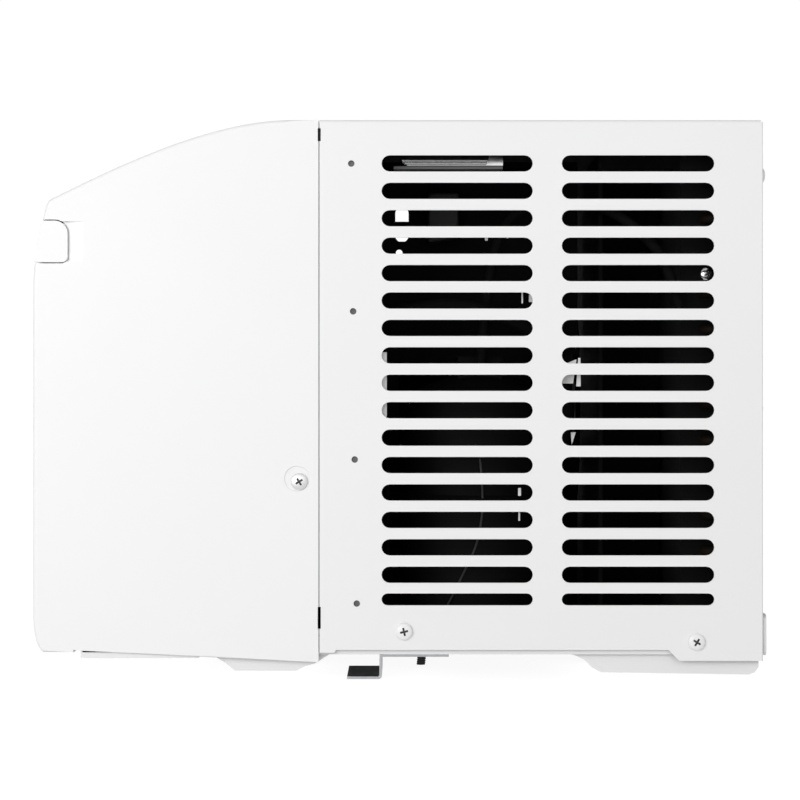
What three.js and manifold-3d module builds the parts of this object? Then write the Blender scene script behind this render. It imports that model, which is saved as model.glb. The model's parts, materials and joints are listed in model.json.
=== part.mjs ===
// Window air conditioner: steel outer case on a pressed base pan, moulded front cover with a
// tilting intake grille, louvred discharge on the sloping top, and the works inside.
// Millimetres, +Z up. The room side faces -Y, the outdoor side +Y, and z = 0 is the underside
// of the two sill brackets.
import * as THREE from 'three';
import { mergeVertices } from 'three/addons/utils/BufferGeometryUtils.js';
import Module from 'manifold-3d';

const wasm = await Module();
wasm.setup();

// ---------------------------------------------------------------- driving dimensions

const gap = 0.3;                     // running gap between neighbouring pieces
const halfWidth = 238;               // half of the 18 3/4 in wide unit
const topZ = 389;
const seamY = -56.2;                 // where the moulded cover meets the steel case

const steel = { sheet: 1.2, rearY: 251.9, bottomZ: 21.1, rearBottomZ: 13.5, corner: 2.5 };
const slots = {
  height: 11.7, rows: 16, pitch: 19.02, topZ: 358.6, leftTopZ: 370.8, endZ: 56.2, endHeight: 8.2,
  columns: [[-13.1, 92.2], [111.9, 218.2]],
};
const pilotHoles = { radius: 2, at: [[-34.2, 358.5], [-32.9, 256], [-31.8, 153.2], [-30.4, 53.3]] };
const seamNotches = [[35.8, 51], [374, 383]];   // reliefs in the case's front edge, low and high z

const cover = {
  wall: 2.5, faceY: -254.8, lipY: -245.1, lipZ: 332.8, underLipY: -248.1, underLipZ: 320,
  tabFootY: -254.4, tabFootZ: 286, chinZ: 49, chinY: -247.9, bottomZ: 19.4, noseEndY: -226.4,
  rearBottomZ: 12.5, frame: 13, sillZ: 33,
};
const tab = { topZ: 319, bottomZ: 290, rearY: -230.6, scoopY: -219.5, depth: 2.5, scoop: 2.6, r: 9, lowR: 4 };
const hinge = { y: -252.9, z: 36.6, pin: 1, hole: 1.4 };   // pins at the grille's lower corners
const coverScrew = {
  y: -69.9, z: 137.9, dimple: 9, dimpleY: -71.5, dimpleZ: 139.9, dimpleDepth: 0.9, head: 5.9,
};
const caseScrews = [['front', 2.8, 34], ['rear', 205.6, 26.7]];

const pan = { halfWidth: 234.9, floorZ: 17.6, sheet: 1.5, wallTop: 45, frontY: -222 };
const rearLip = { y: 254.8, thickness: 2.4, topZ: 45.4, bottomZ: 16.6 };
const foot = { inner: 150, outer: 232 };
const bracket = { x: 206, half: 26, y: 16, sheet: 1.8, studRadius: 3.2, hole: 3.7 };

const slope = { y: -198, z: 355.2, angle: THREE.MathUtils.degToRad(23.5) };
const outlet = { left: -205, right: 88, half: 38 };
const blade = { count: 5, pitch: 15, chord: 16, thick: 1.6, depth: 9.5, rest: 40 };
const vane = { count: 5, length: 52, height: 20, thick: 1.6, depth: 32, linkDrop: 8, railU: 30 };
const panel = { x: 163, halfX: 57, halfU: 36, face: -1.4, back: -4.6, flange: 4 };
const button = { face: -0.6, retain: -5, flangeEnd: -6.6, stemEnd: -9, lip: 1.2 };

const shaft = { x: -45, z: 190, radius: 4, frontY: -168, rearY: 186 };
const wheel = { radius: 92, frontY: -166, rearY: -102, blades: 18 };
const fan = { radius: 128, y: 162, depth: 22, blades: 5, ring: 5 };
const coil = { evaporator: [-232, -192], condenser: [204, 240] };

// ---------------------------------------------------------------- materials

const finish = (color, roughness, metalness = 0) =>
  new THREE.MeshStandardMaterial({ color, roughness, metalness });
const materials = {
  cover: finish(0xf4f5f5, 0.42),
  caseWhite: finish(0xeeefef, 0.38, 0.1),
  panGrey: finish(0xdcdddd, 0.45, 0.2),
  zinc: finish(0xb9bdc0, 0.35, 0.9),
  bright: finish(0xcfd1d2, 0.22, 1),
  black: finish(0x141516, 0.5),
  blackPaint: finish(0x101112, 0.35, 0.2),
  fins: finish(0xa9adb0, 0.45, 0.8),
  copper: finish(0xb46a3c, 0.3, 1),
  foam: finish(0xe9e9e6, 0.85),
  lens: finish(0x16191c, 0.12),
  board: finish(0x2c6a3c, 0.5),
  key: finish(0xe4e6e8, 0.4),
  filter: finish(0x5a6a78, 0.8),
};

// ---------------------------------------------------------------- geometry helpers

const axisX = new THREE.Vector3(1, 0, 0);
const axisY = new THREE.Vector3(0, 1, 0);
const axisZ = new THREE.Vector3(0, 0, 1);

// Outline from [a, b] pairs.
function outline(points) {
  return new THREE.Shape(points.map(([a, b]) => new THREE.Vector2(a, b)));
}

function extrude(shape, depth, curveSegments) {
  return new THREE.ExtrudeGeometry(shape, { depth, bevelEnabled: false, curveSegments });
}

// A (y, z) outline pulled along X from x0 to x1.
function alongX(shape, x0, x1, curveSegments = 6) {
  const turn = new THREE.Matrix4().makeBasis(axisY, axisZ, axisX);
  return extrude(shape, x1 - x0, curveSegments).applyMatrix4(turn).translate(x0, 0, 0);
}

// An (x, z) outline pulled along Y from y0 to y1.
function alongY(shape, y0, y1, curveSegments = 6) {
  const turn = new THREE.Matrix4().makeBasis(axisX, axisZ, axisY.clone().negate());
  return extrude(shape, y1 - y0, curveSegments).applyMatrix4(turn).translate(0, y1, 0);
}

// An (x, y) outline pulled along Z from z0 to z1.
function alongZ(shape, z0, z1, curveSegments = 6) {
  return extrude(shape, z1 - z0, curveSegments).translate(0, 0, z0);
}

function block(x0, x1, y0, y1, z0, z1) {
  const geometry = new THREE.BoxGeometry(x1 - x0, y1 - y0, z1 - z0);
  return geometry.translate((x0 + x1) / 2, (y0 + y1) / 2, (z0 + z1) / 2);
}

// Cylinder along Y, X or Z through (x, y, z), its middle at that point.
function rod(axis, radius, length, x, y, z, sides = 16) {
  const geometry = new THREE.CylinderGeometry(radius, radius, length, sides);
  if (axis === 'x') geometry.rotateZ(Math.PI / 2);
  if (axis === 'z') geometry.rotateX(Math.PI / 2);
  return geometry.translate(x, y, z);
}

function roundedRect(w, h, r, cx = 0, cy = 0) {
  const shape = new THREE.Shape();
  const [x, y] = [w / 2, h / 2];
  shape.absarc(cx + x - r, cy + y - r, r, 0, Math.PI / 2);
  shape.absarc(cx - x + r, cy + y - r, r, Math.PI / 2, Math.PI);
  shape.absarc(cx - x + r, cy - y + r, r, Math.PI, 1.5 * Math.PI);
  shape.absarc(cx + x - r, cy - y + r, r, 1.5 * Math.PI, 2 * Math.PI);
  shape.closePath();
  return shape;
}

// Long hole with round ends, from a0 to a1 and centred on b.
function stadium(a0, a1, b, height) {
  const r = height / 2;
  const shape = new THREE.Shape();
  shape.absarc(a1 - r, b, r, -Math.PI / 2, Math.PI / 2);
  shape.absarc(a0 + r, b, r, Math.PI / 2, 1.5 * Math.PI);
  shape.closePath();
  return shape;
}

function solid(geometry) {
  const bare = geometry.clone();
  bare.deleteAttribute('normal');
  bare.deleteAttribute('uv');
  const merged = mergeVertices(bare, 1e-4);
  return new wasm.Manifold(new wasm.Mesh({
    numProp: 3,
    vertProperties: new Float32Array(merged.attributes.position.array),
    triVerts: new Uint32Array(merged.index.array),
  }));
}

function geometryOf(manifold) {
  const mesh = manifold.getMesh();
  const geometry = new THREE.BufferGeometry();
  geometry.setAttribute('position', new THREE.BufferAttribute(mesh.vertProperties, 3));
  geometry.setIndex(new THREE.BufferAttribute(mesh.triVerts, 1));
  return geometry;
}

function join(...pieces) {
  return geometryOf(pieces.map(solid).reduce((a, b) => a.add(b)));
}

function cut(base, ...tools) {
  return geometryOf(tools.map(solid).reduce((a, b) => a.subtract(b), solid(base)));
}

function tube(points, radius, steps, sides = 8) {
  const path = new THREE.CatmullRomCurve3(points.map((p) => new THREE.Vector3(...p)));
  const section = new THREE.Shape().absarc(0, 0, radius, 0, 2 * Math.PI);
  const ring = new THREE.Shape(section.getPoints(sides).slice(0, sides));
  return new THREE.ExtrudeGeometry(ring, { steps, bevelEnabled: false, extrudePath: path });
}

// Profile of [radius, height] pairs spun about an axis through (x, y, z) and along Y or Z.
function turned(axis, profile, x, y, z, sides = 24) {
  const points = profile.map(([r, h]) => new THREE.Vector2(r, h));
  const geometry = new THREE.LatheGeometry(points, sides);
  if (axis === 'z') geometry.rotateX(Math.PI / 2);
  return geometry.translate(x, y, z);
}

const unit = new THREE.Group();

function add(name, geometry, material, parent = unit) {
  const mesh = new THREE.Mesh(geometry, material);
  mesh.name = name;
  parent.add(mesh);
  return mesh;
}

// Sloping top of the cover: x across, y up the slope, z out of the surface.
const slopeGroup = new THREE.Group();
slopeGroup.position.set(0, slope.y, slope.z);
slopeGroup.rotation.x = slope.angle;
unit.add(slopeGroup);
const slopeMatrix = new THREE.Matrix4().makeRotationX(slope.angle).setPosition(0, slope.y, slope.z);
const onSlope = (geometry) => geometry.applyMatrix4(slopeMatrix);

// ---------------------------------------------------------------- steel case and base pan

// Half of a folded sheet seen from the front: side, rounded shoulder and top.
function sheetArch(half, top, thickness, corner, bottom) {
  const shape = new THREE.Shape();
  shape.moveTo(-half, bottom);
  shape.lineTo(-half, top - corner);
  shape.absarc(-half + corner, top - corner, corner, Math.PI, Math.PI / 2, true);
  shape.lineTo(half - corner, top);
  shape.absarc(half - corner, top - corner, corner, Math.PI / 2, 0, true);
  shape.lineTo(half, bottom);
  const inner = corner - thickness;
  shape.lineTo(half - thickness, bottom);
  shape.lineTo(half - thickness, top - corner);
  shape.absarc(half - corner, top - corner, inner, 0, Math.PI / 2);
  shape.lineTo(-half + corner, top - thickness);
  shape.absarc(-half + corner, top - corner, inner, Math.PI / 2, Math.PI);
  shape.lineTo(-half + thickness, bottom);
  shape.closePath();
  return shape;
}

function outerCase() {
  const frontY = seamY + gap;
  const arch = alongY(
    sheetArch(halfWidth, topZ, steel.sheet, steel.corner, steel.rearBottomZ), frontY, steel.rearY, 3);
  const belowEdge = outline([
    [frontY - 2, 0], [frontY - 2, 19.2], [-45.4, 19.2], [-44.6, steel.bottomZ],
    [186.2, steel.bottomZ], [193.8, steel.rearBottomZ], [193.8, 0],
  ]);
  const past = halfWidth + 4;
  const tools = [alongX(belowEdge, -past, past)];
  for (const [y0, y1] of slots.columns) {
    for (let row = 0; row < slots.rows; row += 1) {
      const drop = row * slots.pitch;
      tools.push(alongX(stadium(y0, y1, slots.topZ - drop, slots.height), 0, past, 2));
      tools.push(alongX(stadium(y0, y1, slots.leftTopZ - drop, slots.height), -past, 0, 2));
    }
    tools.push(alongX(stadium(y0, y1, slots.endZ, slots.endHeight), 0, past, 2));
  }
  for (const [y, z] of pilotHoles.at) tools.push(rod('x', pilotHoles.radius, 2 * past, 0, y, z, 8));
  for (const [z0, z1] of seamNotches) tools.push(block(-past, past, frontY - 1, frontY + 0.9, z0, z1));
  for (const [, y, z] of caseScrews) tools.push(rod('x', 2.4, 2 * past, 0, y, z, 8));
  return cut(arch, ...tools);
}

// Steel plate over the outdoor coil, slotted in three columns.
function rearGuard() {
  const inside = halfWidth - steel.sheet - gap;
  const top = topZ - steel.sheet - gap;
  const [y0, y1] = [steel.rearY - 1.6, steel.rearY - 0.4];
  const plate = alongY(roundedRect(2 * inside, top - 22, 4, 0, (top + 22) / 2), y0, y1, 3);
  const tools = [];
  for (let row = 0; row < slots.rows; row += 1) {
    const z = slots.topZ - row * slots.pitch;
    for (const x of [-146, 0, 146]) {
      tools.push(alongY(stadium(x - 64, x + 64, z, slots.height), y0 - 1, y1 + 1, 2));
    }
  }
  return cut(plate, ...tools);
}

// Pressed foot under the pan, its outline seen from the side.
const frontFoot = [[-134, 19], [-122, 11.5], [-115, 5.8], [-72.5, 5.8], [-66, 9], [-59, 11], [-46.5, 19]];
const rearFoot = [
  [114, 19], [123, 16.2], [129, 13], [134, 8], [140, 4.8], [243, 3.2], [247, 4.6], [249.8, 8.4], [250, 19],
];

function basePan() {
  const half = pan.halfWidth;
  const z0 = pan.floorZ;
  const z1 = pan.floorZ + pan.sheet;
  const pieces = [block(-half, half, pan.frontY, rearLip.y - rearLip.thickness, z0, z1)];
  pieces.push(block(-half, half, pan.frontY, -140, z0 - 2.6, z0 + 0.5));
  for (const side of [-1, 1]) {
    const [x0, x1] = side < 0 ? [-half, -half + steel.sheet] : [half - steel.sheet, half];
    pieces.push(block(x0, x1, seamY + 2, 248, z0, pan.wallTop));
  }
  pieces.push(block(-half, half, pan.frontY, pan.frontY + steel.sheet, z0, 34));
  const lipY = rearLip.y - rearLip.thickness;
  const { topZ: lipTop, bottomZ: lipBottom } = rearLip;
  const lip = roundedRect(2 * pan.halfWidth, lipTop - lipBottom, 4, 0, (lipTop + lipBottom) / 2);
  pieces.push(alongY(lip, lipY, rearLip.y, 2));
  pieces.push(block(-228, 228, lipY - 1, lipY + 1, z0, z1));
  const tools = [];
  for (const points of [frontFoot, rearFoot]) {
    const middle = (points[0][0] + points[points.length - 1][0]) / 2;
    const hollow = points.map(([y, z]) => [middle + (y - middle) * 0.95, z + pan.sheet]);
    for (const side of [-1, 1]) {
      const [x0, x1] = side < 0 ? [-foot.outer, -foot.inner] : [foot.inner, foot.outer];
      pieces.push(alongX(outline(points), x0, x1));
      tools.push(alongX(outline(hollow), x0 + pan.sheet, x1 - pan.sheet));
    }
  }
  for (const [, y, z] of caseScrews) tools.push(rod('x', 2.4, 2 * half + 8, 0, y, z, 8));
  for (const side of [-1, 1]) tools.push(rod('z', bracket.hole, 20, side * bracket.x, bracket.y, 18, 8));
  return cut(join(...pieces), ...tools);
}

// Z-shaped bracket that catches behind the window sill.
function sillBracket(x) {
  const t = bracket.sheet;
  const topFlange = pan.floorZ - gap;
  const bent = outline([
    [-37, 0], [-12.6, 0], [-12.6, topFlange - t], [34, topFlange - t],
    [34, topFlange], [-12.6 - t, topFlange], [-12.6 - t, t], [-37, t],
  ]);
  const plate = alongX(bent, x - bracket.half, x + bracket.half);
  return cut(plate, rod('z', bracket.hole, 10, x, bracket.y, topFlange, 8));
}

// Threaded stud that draws the bracket up against the pan.
function bracketStud(x) {
  const [z0, z1] = [6.5, pan.floorZ + pan.sheet + gap];
  return join(
    rod('z', bracket.studRadius, z1 + 1 - z0, x, bracket.y, (z1 + 1 + z0) / 2, 12),
    rod('z', 5.2, 3.6, x, bracket.y, z1 + 1.8, 6),
  );
}

// Pan-headed screw along X, with its head outside the face at x.
function sideScrew(side, x, y, z, head, hole) {
  const length = 11;
  const dome = turned('z', [[0, 0], [head, 0], [head, 0.8], [head * 0.72, 2.2], [0, 2.7]], 0, 0, 0, 16);
  const shank = rod('z', hole, length, 0, 0, -length / 2 + 0.4, 10);
  const geometry = join(dome, shank);
  geometry.rotateY(side * Math.PI / 2);
  return geometry.translate(x, y, z);
}

// ---------------------------------------------------------------- front cover

// Side profile of the moulded cover, pulled in all round by `inset`.
function coverProfile(inset, rearY, hollow) {
  const shape = new THREE.Shape();
  shape.moveTo(rearY, topZ - 0.3 - inset);
  shape.lineTo(-76, topZ - 0.3 - inset);
  shape.bezierCurveTo(
    -132, topZ - 0.3 - inset, -200 + inset * 0.4, 355.2 - inset,
    cover.lipY + inset, cover.lipZ - inset * 0.9,
  );
  shape.lineTo(cover.underLipY + inset, cover.underLipZ);
  shape.lineTo(cover.tabFootY + inset, cover.tabFootZ);
  shape.lineTo(cover.faceY + inset, cover.tabFootZ - 12);
  shape.lineTo(cover.faceY + inset, cover.chinZ);
  shape.quadraticCurveTo(cover.faceY + inset, 24 + inset, cover.chinY + inset, cover.bottomZ + inset);
  if (hollow) {
    shape.lineTo(pan.frontY - 2, cover.bottomZ + inset);
    shape.lineTo(pan.frontY - 2, 0);
    shape.lineTo(rearY, 0);
  } else {
    shape.lineTo(cover.noseEndY, cover.bottomZ);
    shape.lineTo(cover.noseEndY, cover.bottomZ + 1.6);
    shape.lineTo(cover.noseEndY + 2, cover.bottomZ + 1.2);
    shape.lineTo(-132.8, 15.9);
    shape.lineTo(seamY - 0.4, cover.rearBottomZ);
    shape.lineTo(rearY, cover.rearBottomZ);
  }
  shape.closePath();
  return shape;
}

// Block shaped like the finger tab, grown by `grow` to make its notch in the cover.
function tabBlock(side, grow) {
  const { r, lowR } = tab;
  const shape = new THREE.Shape();
  const rear = tab.rearY + grow;
  const [low, high] = [tab.bottomZ - grow, tab.topZ + grow];
  shape.moveTo(-262, low);
  shape.lineTo(rear - lowR, low);
  shape.lineTo(rear - lowR * 0.3, low + lowR * 0.3);
  shape.lineTo(rear, low + lowR);
  shape.lineTo(rear, high - r);
  shape.absarc(rear - r, high - r, r, 0, Math.PI / 2);
  shape.lineTo(-262, high);
  shape.closePath();
  const inner = halfWidth - tab.depth - grow;
  return side > 0 ? alongX(shape, inner, halfWidth + 3, 4) : alongX(shape, -halfWidth - 3, -inner, 4);
}

// Ramp beside the tab that lets a fingertip behind it.
function fingerScoop(side) {
  const points = [[2, tab.scoopY], [0, tab.scoopY], [-tab.scoop, tab.rearY], [-tab.scoop, -236], [2, -236]];
  const shape = outline(points.map(([x, y]) => [side * (halfWidth + x), y]));
  return alongZ(shape, tab.bottomZ + 0.6, tab.topZ - 0.6);
}

function frontCover() {
  const rear = seamY - gap;
  const shell = alongX(coverProfile(0, rear, false), -halfWidth, halfWidth, 10);
  const inside = halfWidth - cover.wall;
  const hollow = alongX(coverProfile(cover.wall, rear + 5, true), -inside, inside, 10);
  const opening = halfWidth - cover.frame;
  const pockets = [];
  for (const side of [-1, 1]) {
    const [x0, x1] = side < 0 ? [-inside - 0.5, -inside + 6] : [inside - 6, inside + 0.5];
    pockets.push(block(x0, x1, -234, -216, 284, 324));
    const [b0, b1] = side < 0 ? [-opening - 6, -opening] : [opening, opening + 6];
    pockets.push(block(b0, b1, cover.faceY + 1, -249, cover.sillZ - 0.5, cover.sillZ + 9));
  }
  const tools = [
    block(-opening, opening, -262, -246, cover.sillZ, tab.topZ + 0.7),
    block(-halfWidth + 1, halfWidth - 1, -262, -245, tab.bottomZ - 0.7, tab.topZ + 0.7),
    onSlope(block(outlet.left, outlet.right, -outlet.half, outlet.half, -12, 12)),
    onSlope(block(panel.x - panel.halfX, panel.x + panel.halfX, -panel.halfU, panel.halfU, -12, 12)),
    onSlope(alongZ(stadium(-14, 14, 0, 5), -12, 12, 3).rotateZ(Math.PI / 2).translate(-221, 0, 0)),
  ];
  for (const side of [-1, 1]) {
    tools.push(rod('x', hinge.hole, 10, side * opening, hinge.y, hinge.z, 8));
    tools.push(tabBlock(side, 0.7));
    const outside = side * halfWidth;
    const { y, z, dimple, dimpleY, dimpleZ, dimpleDepth } = coverScrew;
    tools.push(rod('x', dimple, 2 * dimpleDepth, outside, dimpleY, dimpleZ, 20));
    tools.push(rod('x', 2.4, 20, outside, y, z, 8));
    tools.push(fingerScoop(side));
  }
  return cut(join(cut(shell, hollow), ...pockets), ...tools);
}

// ---------------------------------------------------------------- intake grille and filter

function intakeGrille() {
  const half = halfWidth - cover.frame - gap - 0.4;
  const [back, front] = [cover.faceY + 3.2, cover.faceY + 0.2];
  const side = outline([
    [back, cover.sillZ + 0.9], [front + 0.4, cover.sillZ + 0.9], [front, cover.sillZ + 6],
    [front, cover.tabFootZ - 12], [cover.tabFootY + 0.2, cover.tabFootZ],
    [cover.underLipY - 0.9, tab.topZ], [cover.underLipY + 2.1, tab.topZ], [back, cover.tabFootZ],
  ]);
  const pieces = [alongX(side, -half, half)];
  for (const x of [-half, -75, 75, half - 3]) {
    pieces.push(block(x, x + 3, back - 1, -245.8, 48, 284));
  }
  for (const s of [-1, 1]) {
    const wing = outline([
      [-249, tab.topZ], [tab.rearY - tab.r, tab.topZ], [tab.rearY - tab.r / 2, tab.topZ - tab.r * 0.14],
      [tab.rearY - tab.r * 0.14, tab.topZ - tab.r / 2], [tab.rearY, tab.topZ - tab.r],
      [tab.rearY, tab.bottomZ + tab.lowR], [tab.rearY - tab.lowR * 0.3, tab.bottomZ + tab.lowR * 0.3],
      [tab.rearY - tab.lowR, tab.bottomZ], [-253.6, tab.bottomZ],
    ]);
    const [x0, x1] = s < 0 ? [-halfWidth, -halfWidth + tab.depth] : [halfWidth - tab.depth, halfWidth];
    pieces.push(alongX(wing, x0, x1));
    const bridge = outline([
      [-248.6, tab.topZ - 0.5], [-246.6, tab.topZ - 0.5],
      [-251, tab.bottomZ + 0.5], [-253, tab.bottomZ + 0.5],
    ]);
    const [b0, b1] = s < 0 ? [-halfWidth + 1, -half + 1] : [half - 1, halfWidth - 1];
    pieces.push(alongX(bridge, b0, b1));
    pieces.push(rod('x', hinge.pin, 8, s * half, hinge.y, hinge.z, 8));
  }
  const tools = [];
  for (let z = 58; z < 280; z += 11.6) {
    for (const [x0, x1] of [[-half + 12, -77], [-70, 73], [80, half - 12]]) {
      tools.push(block(x0, x1, -262, -250, z, z + 7));
    }
  }
  return cut(join(...pieces), ...tools);
}

const filterBox = { half: 208, y0: -245.4, y1: -241.8, z0: 52, z1: 304 };

function filterFrame() {
  const { half, y0, y1, z0, z1 } = filterBox;
  const tools = [];
  const columns = 4;
  const pitch = (2 * half - 5) / columns;
  for (let i = 0; i < columns; i += 1) {
    const x0 = -half + 5 + i * pitch;
    for (const [low, high] of [[z0 + 5, 176], [181, z1 - 12]]) {
      tools.push(block(x0, x0 + pitch - 5, y0 - 1, y1 + 1, low, high));
    }
  }
  tools.push(block(-half + 3, half - 3, y0 + 1.4, y0 + 2.2, z0 + 3, z1 - 10));
  return cut(block(-half, half, y0, y1, z0, z1), ...tools);
}

function filterMesh() {
  const { half, y0, z0, z1 } = filterBox;
  return block(-half + 3.3, half - 3.3, y0 + 1.6, y0 + 2, z0 + 3.3, z1 - 10.3);
}

// ---------------------------------------------------------------- control panel

function controlPanel() {
  const { halfX, halfU, face, back, flange } = panel;
  const plate = block(-halfX + gap, halfX - gap, -halfU + gap, halfU - gap, back, face);
  const rim = block(-halfX - flange, halfX + flange, -halfU - flange, halfU + flange, back - 1.6, back);
  const well = block(-halfX + 3, halfX - 3, -halfU + 3, halfU - 3, back - 3, back);
  const tools = [well, alongZ(roundedRect(60, 20, 2, -17, 16), back - 1, face + 1, 2)];
  for (const [, x, u, w, h] of buttons) {
    tools.push(alongZ(roundedRect(w + 2 * gap, h + 2 * gap, 2.4, x, u), back - 1, face + 1, 2));
  }
  return cut(join(plate, rim), ...tools).translate(panel.x, 0, 0);
}

const buttons = [
  ['power_button', -44, -18, 16, 11],
  ['mode_button', -22, -18, 16, 11],
  ['fan_speed_button', 0, -18, 16, 11],
  ['timer_button', 22, -18, 16, 11],
  ['energy_saver_button', 44, -18, 16, 11],
  ['temp_up_button', 37, 22.5, 24, 11],
  ['temp_down_button', 37, 6, 24, 11],
];

function pushButton(x, u, w, h) {
  const { face, retain, flangeEnd, stemEnd, lip } = button;
  const cap = alongZ(roundedRect(w, h, 2.1), retain - 0.2, face, 2);
  const flange = alongZ(roundedRect(w + 2 * lip, h + 2 * lip, 2.1), flangeEnd, retain, 1);
  const stem = rod('z', 2, flangeEnd - stemEnd + 0.4, 0, 0, (flangeEnd + stemEnd + 0.4) / 2, 6);
  return join(cap, flange, stem).translate(panel.x + x, u, 0);
}

function displayLens() {
  const shape = roundedRect(60 - 2 * gap, 20 - 2 * gap, 1.8, panel.x - 17, 16);
  return alongZ(shape, panel.back + 0.2, panel.face - 0.3, 2);
}

function circuitBoard() {
  const board = block(-52, 52, -31, 31, -12.8, -11.2);
  const socket = block(-40, 6, 8, 24, -11.4, -8);
  return join(board, socket).translate(panel.x, 0, 0);
}

// ---------------------------------------------------------------- louvres, vanes and fresh air

function louvreBlade() {
  const { chord, thick } = blade;
  const half = chord / 2;
  const section = outline([
    [-half, 0], [-half + 2, -thick / 2], [half - 2, -thick / 2],
    [half, 0], [half - 3, thick / 2], [-half + 3, thick / 2],
  ]);
  const [left, right] = [outlet.left + 3, outlet.right - 3];
  const pins = rod('x', 1.1, right - left + 10, (left + right) / 2, 0, 0, 8);
  return join(alongX(section, left, right), pins);
}

function airVane() {
  const { length, height, thick, linkDrop, railU } = vane;
  const plate = block(-thick / 2, thick / 2, -length / 2, length / 2, -height / 2, height / 2);
  const notch = block(-2, 2, -23.4, -16.6, -height, -linkDrop + 2);
  const pin = rod('y', 1.2, 2 * railU + 2, 0, 0, 0, 8);
  return cut(join(plate, pin), notch);
}

function vaneX(i) {
  const span = outlet.right - outlet.left;
  return outlet.left + (span * (i + 0.5)) / vane.count;
}

// Bar with a fork at each vane, which turns them all together.
function vaneLink() {
  const z = -vane.depth - vane.linkDrop;
  const pieces = [block(vaneX(0) - 8, vaneX(vane.count - 1) + 8, -21.5, -18.5, z - 1.6, z + 0.6)];
  for (let i = 0; i < vane.count; i += 1) {
    for (const side of [-1, 1]) {
      const x = vaneX(i) + side * 3.2;
      pieces.push(block(x - 0.6, x + 0.6, -21.5, -18.5, z - 1, z + 2.4));
    }
  }
  return join(...pieces);
}

function ventLever() {
  const thumb = alongZ(roundedRect(9, 7, 2), 0.3, 3, 2);
  const neck = block(-1.7, 1.7, -2.4, 2.4, -5.4, 0.6);
  const foot = block(-5, 5, -4, 4, -7, -5.2);
  return join(thumb, neck, foot).translate(-221, -7, 0);
}

const vent = { x0: -216, x1: -178, z0: 330, z1: 352 };

function ventDoor() {
  const plate = block(vent.x0 - 2, vent.x1 + 2, -67.6, -66.2, vent.z0 - 2, vent.z1 + 1);
  return join(plate, rod('x', 1.2, vent.x1 - vent.x0 + 8, (vent.x0 + vent.x1) / 2, -66.4, vent.z1 + 1, 8));
}

// ---------------------------------------------------------------- works inside

function bulkhead() {
  const half = 233;
  const plan = outline([
    [-half, -84], [-half + 1.2, -84], [-half + 1.2, -69.2], [half - 1.2, -69.2],
    [half - 1.2, -84], [half, -84], [half, -68], [-half, -68],
  ]);
  const sheet = alongZ(plan, 21, 382);
  return cut(
    sheet,
    rod('y', 20, 20, shaft.x, -70, shaft.z, 20),
    block(vent.x0, vent.x1, -80, -60, vent.z0, vent.z1),
    rod('x', 2.4, 16, 234, coverScrew.y, coverScrew.z, 8),
    rod('x', 2.4, 16, -234, coverScrew.y, coverScrew.z, 8),
    block(150, 190, -80, -60, 120, 150),
  );
}

function evaporatorCoil() {
  const [y0, y1] = coil.evaporator;
  const pieces = [block(-212, 206, y0, y1, 56, 296)];
  for (const x of [-214, 204]) pieces.push(block(x, x + 2, y0 - 2, y1 + 2, 52, 300));
  for (let i = 0; i < 5; i += 1) {
    const z = 80 + i * 46;
    const bend = [[205, -220, z], [214, -220, z], [216, -212, z], [214, -204, z], [205, -204, z]];
    pieces.push(tube(bend, 3.4, 7, 6));
  }
  return join(...pieces);
}

function condenserCoil() {
  const [y0, y1] = coil.condenser;
  const pieces = [block(-217, 218, y0, y1, 34, 366)];
  for (const x of [-218, 217]) pieces.push(block(x, x + 1.6, y0 - 6, y1 + 4, 30, 370));
  for (let i = 0; i < 6; i += 1) {
    const z = 62 + i * 52;
    const bend = [[217, 214, z], [225, 214, z], [227, 221, z], [225, 229, z], [217, 229, z]];
    pieces.push(tube(bend, 3.4, 7, 6));
  }
  return join(...pieces);
}

// Foam volute round the blower wheel, open to the coil in front and to the duct above.
function blowerScroll() {
  const shape = new THREE.Shape();
  const [cx, cz] = [shaft.x, shaft.z];
  shape.moveTo(outlet.left, 300);
  shape.lineTo(outlet.left, 236);
  const steps = 22;
  for (let i = 0; i <= steps; i += 1) {
    const t = i / steps;
    const turn = Math.PI * (0.95 + 1.05 * t);
    const r = 142 - 24 * t;
    shape.lineTo(cx + r * Math.cos(turn), cz + r * Math.sin(turn));
  }
  shape.lineTo(outlet.right, 300);
  shape.closePath();
  const inner = new THREE.Shape();
  inner.moveTo(outlet.left + 6, 310);
  inner.lineTo(outlet.left + 6, 238);
  for (let i = 0; i <= steps; i += 1) {
    const t = i / steps;
    const turn = Math.PI * (0.95 + 1.05 * t);
    const r = 134 - 24 * t;
    inner.lineTo(cx + r * Math.cos(turn), cz + r * Math.sin(turn));
  }
  inner.lineTo(outlet.right - 6, 310);
  inner.closePath();
  const body = alongY(shape, -182, -86);
  const mouth = rod('y', 70, 20, cx, -180, cz, 28);
  const shaftHole = rod('y', 26, 20, cx, -86, cz, 20);
  return cut(body, alongY(inner, -178, -90), mouth, shaftHole);
}

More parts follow.
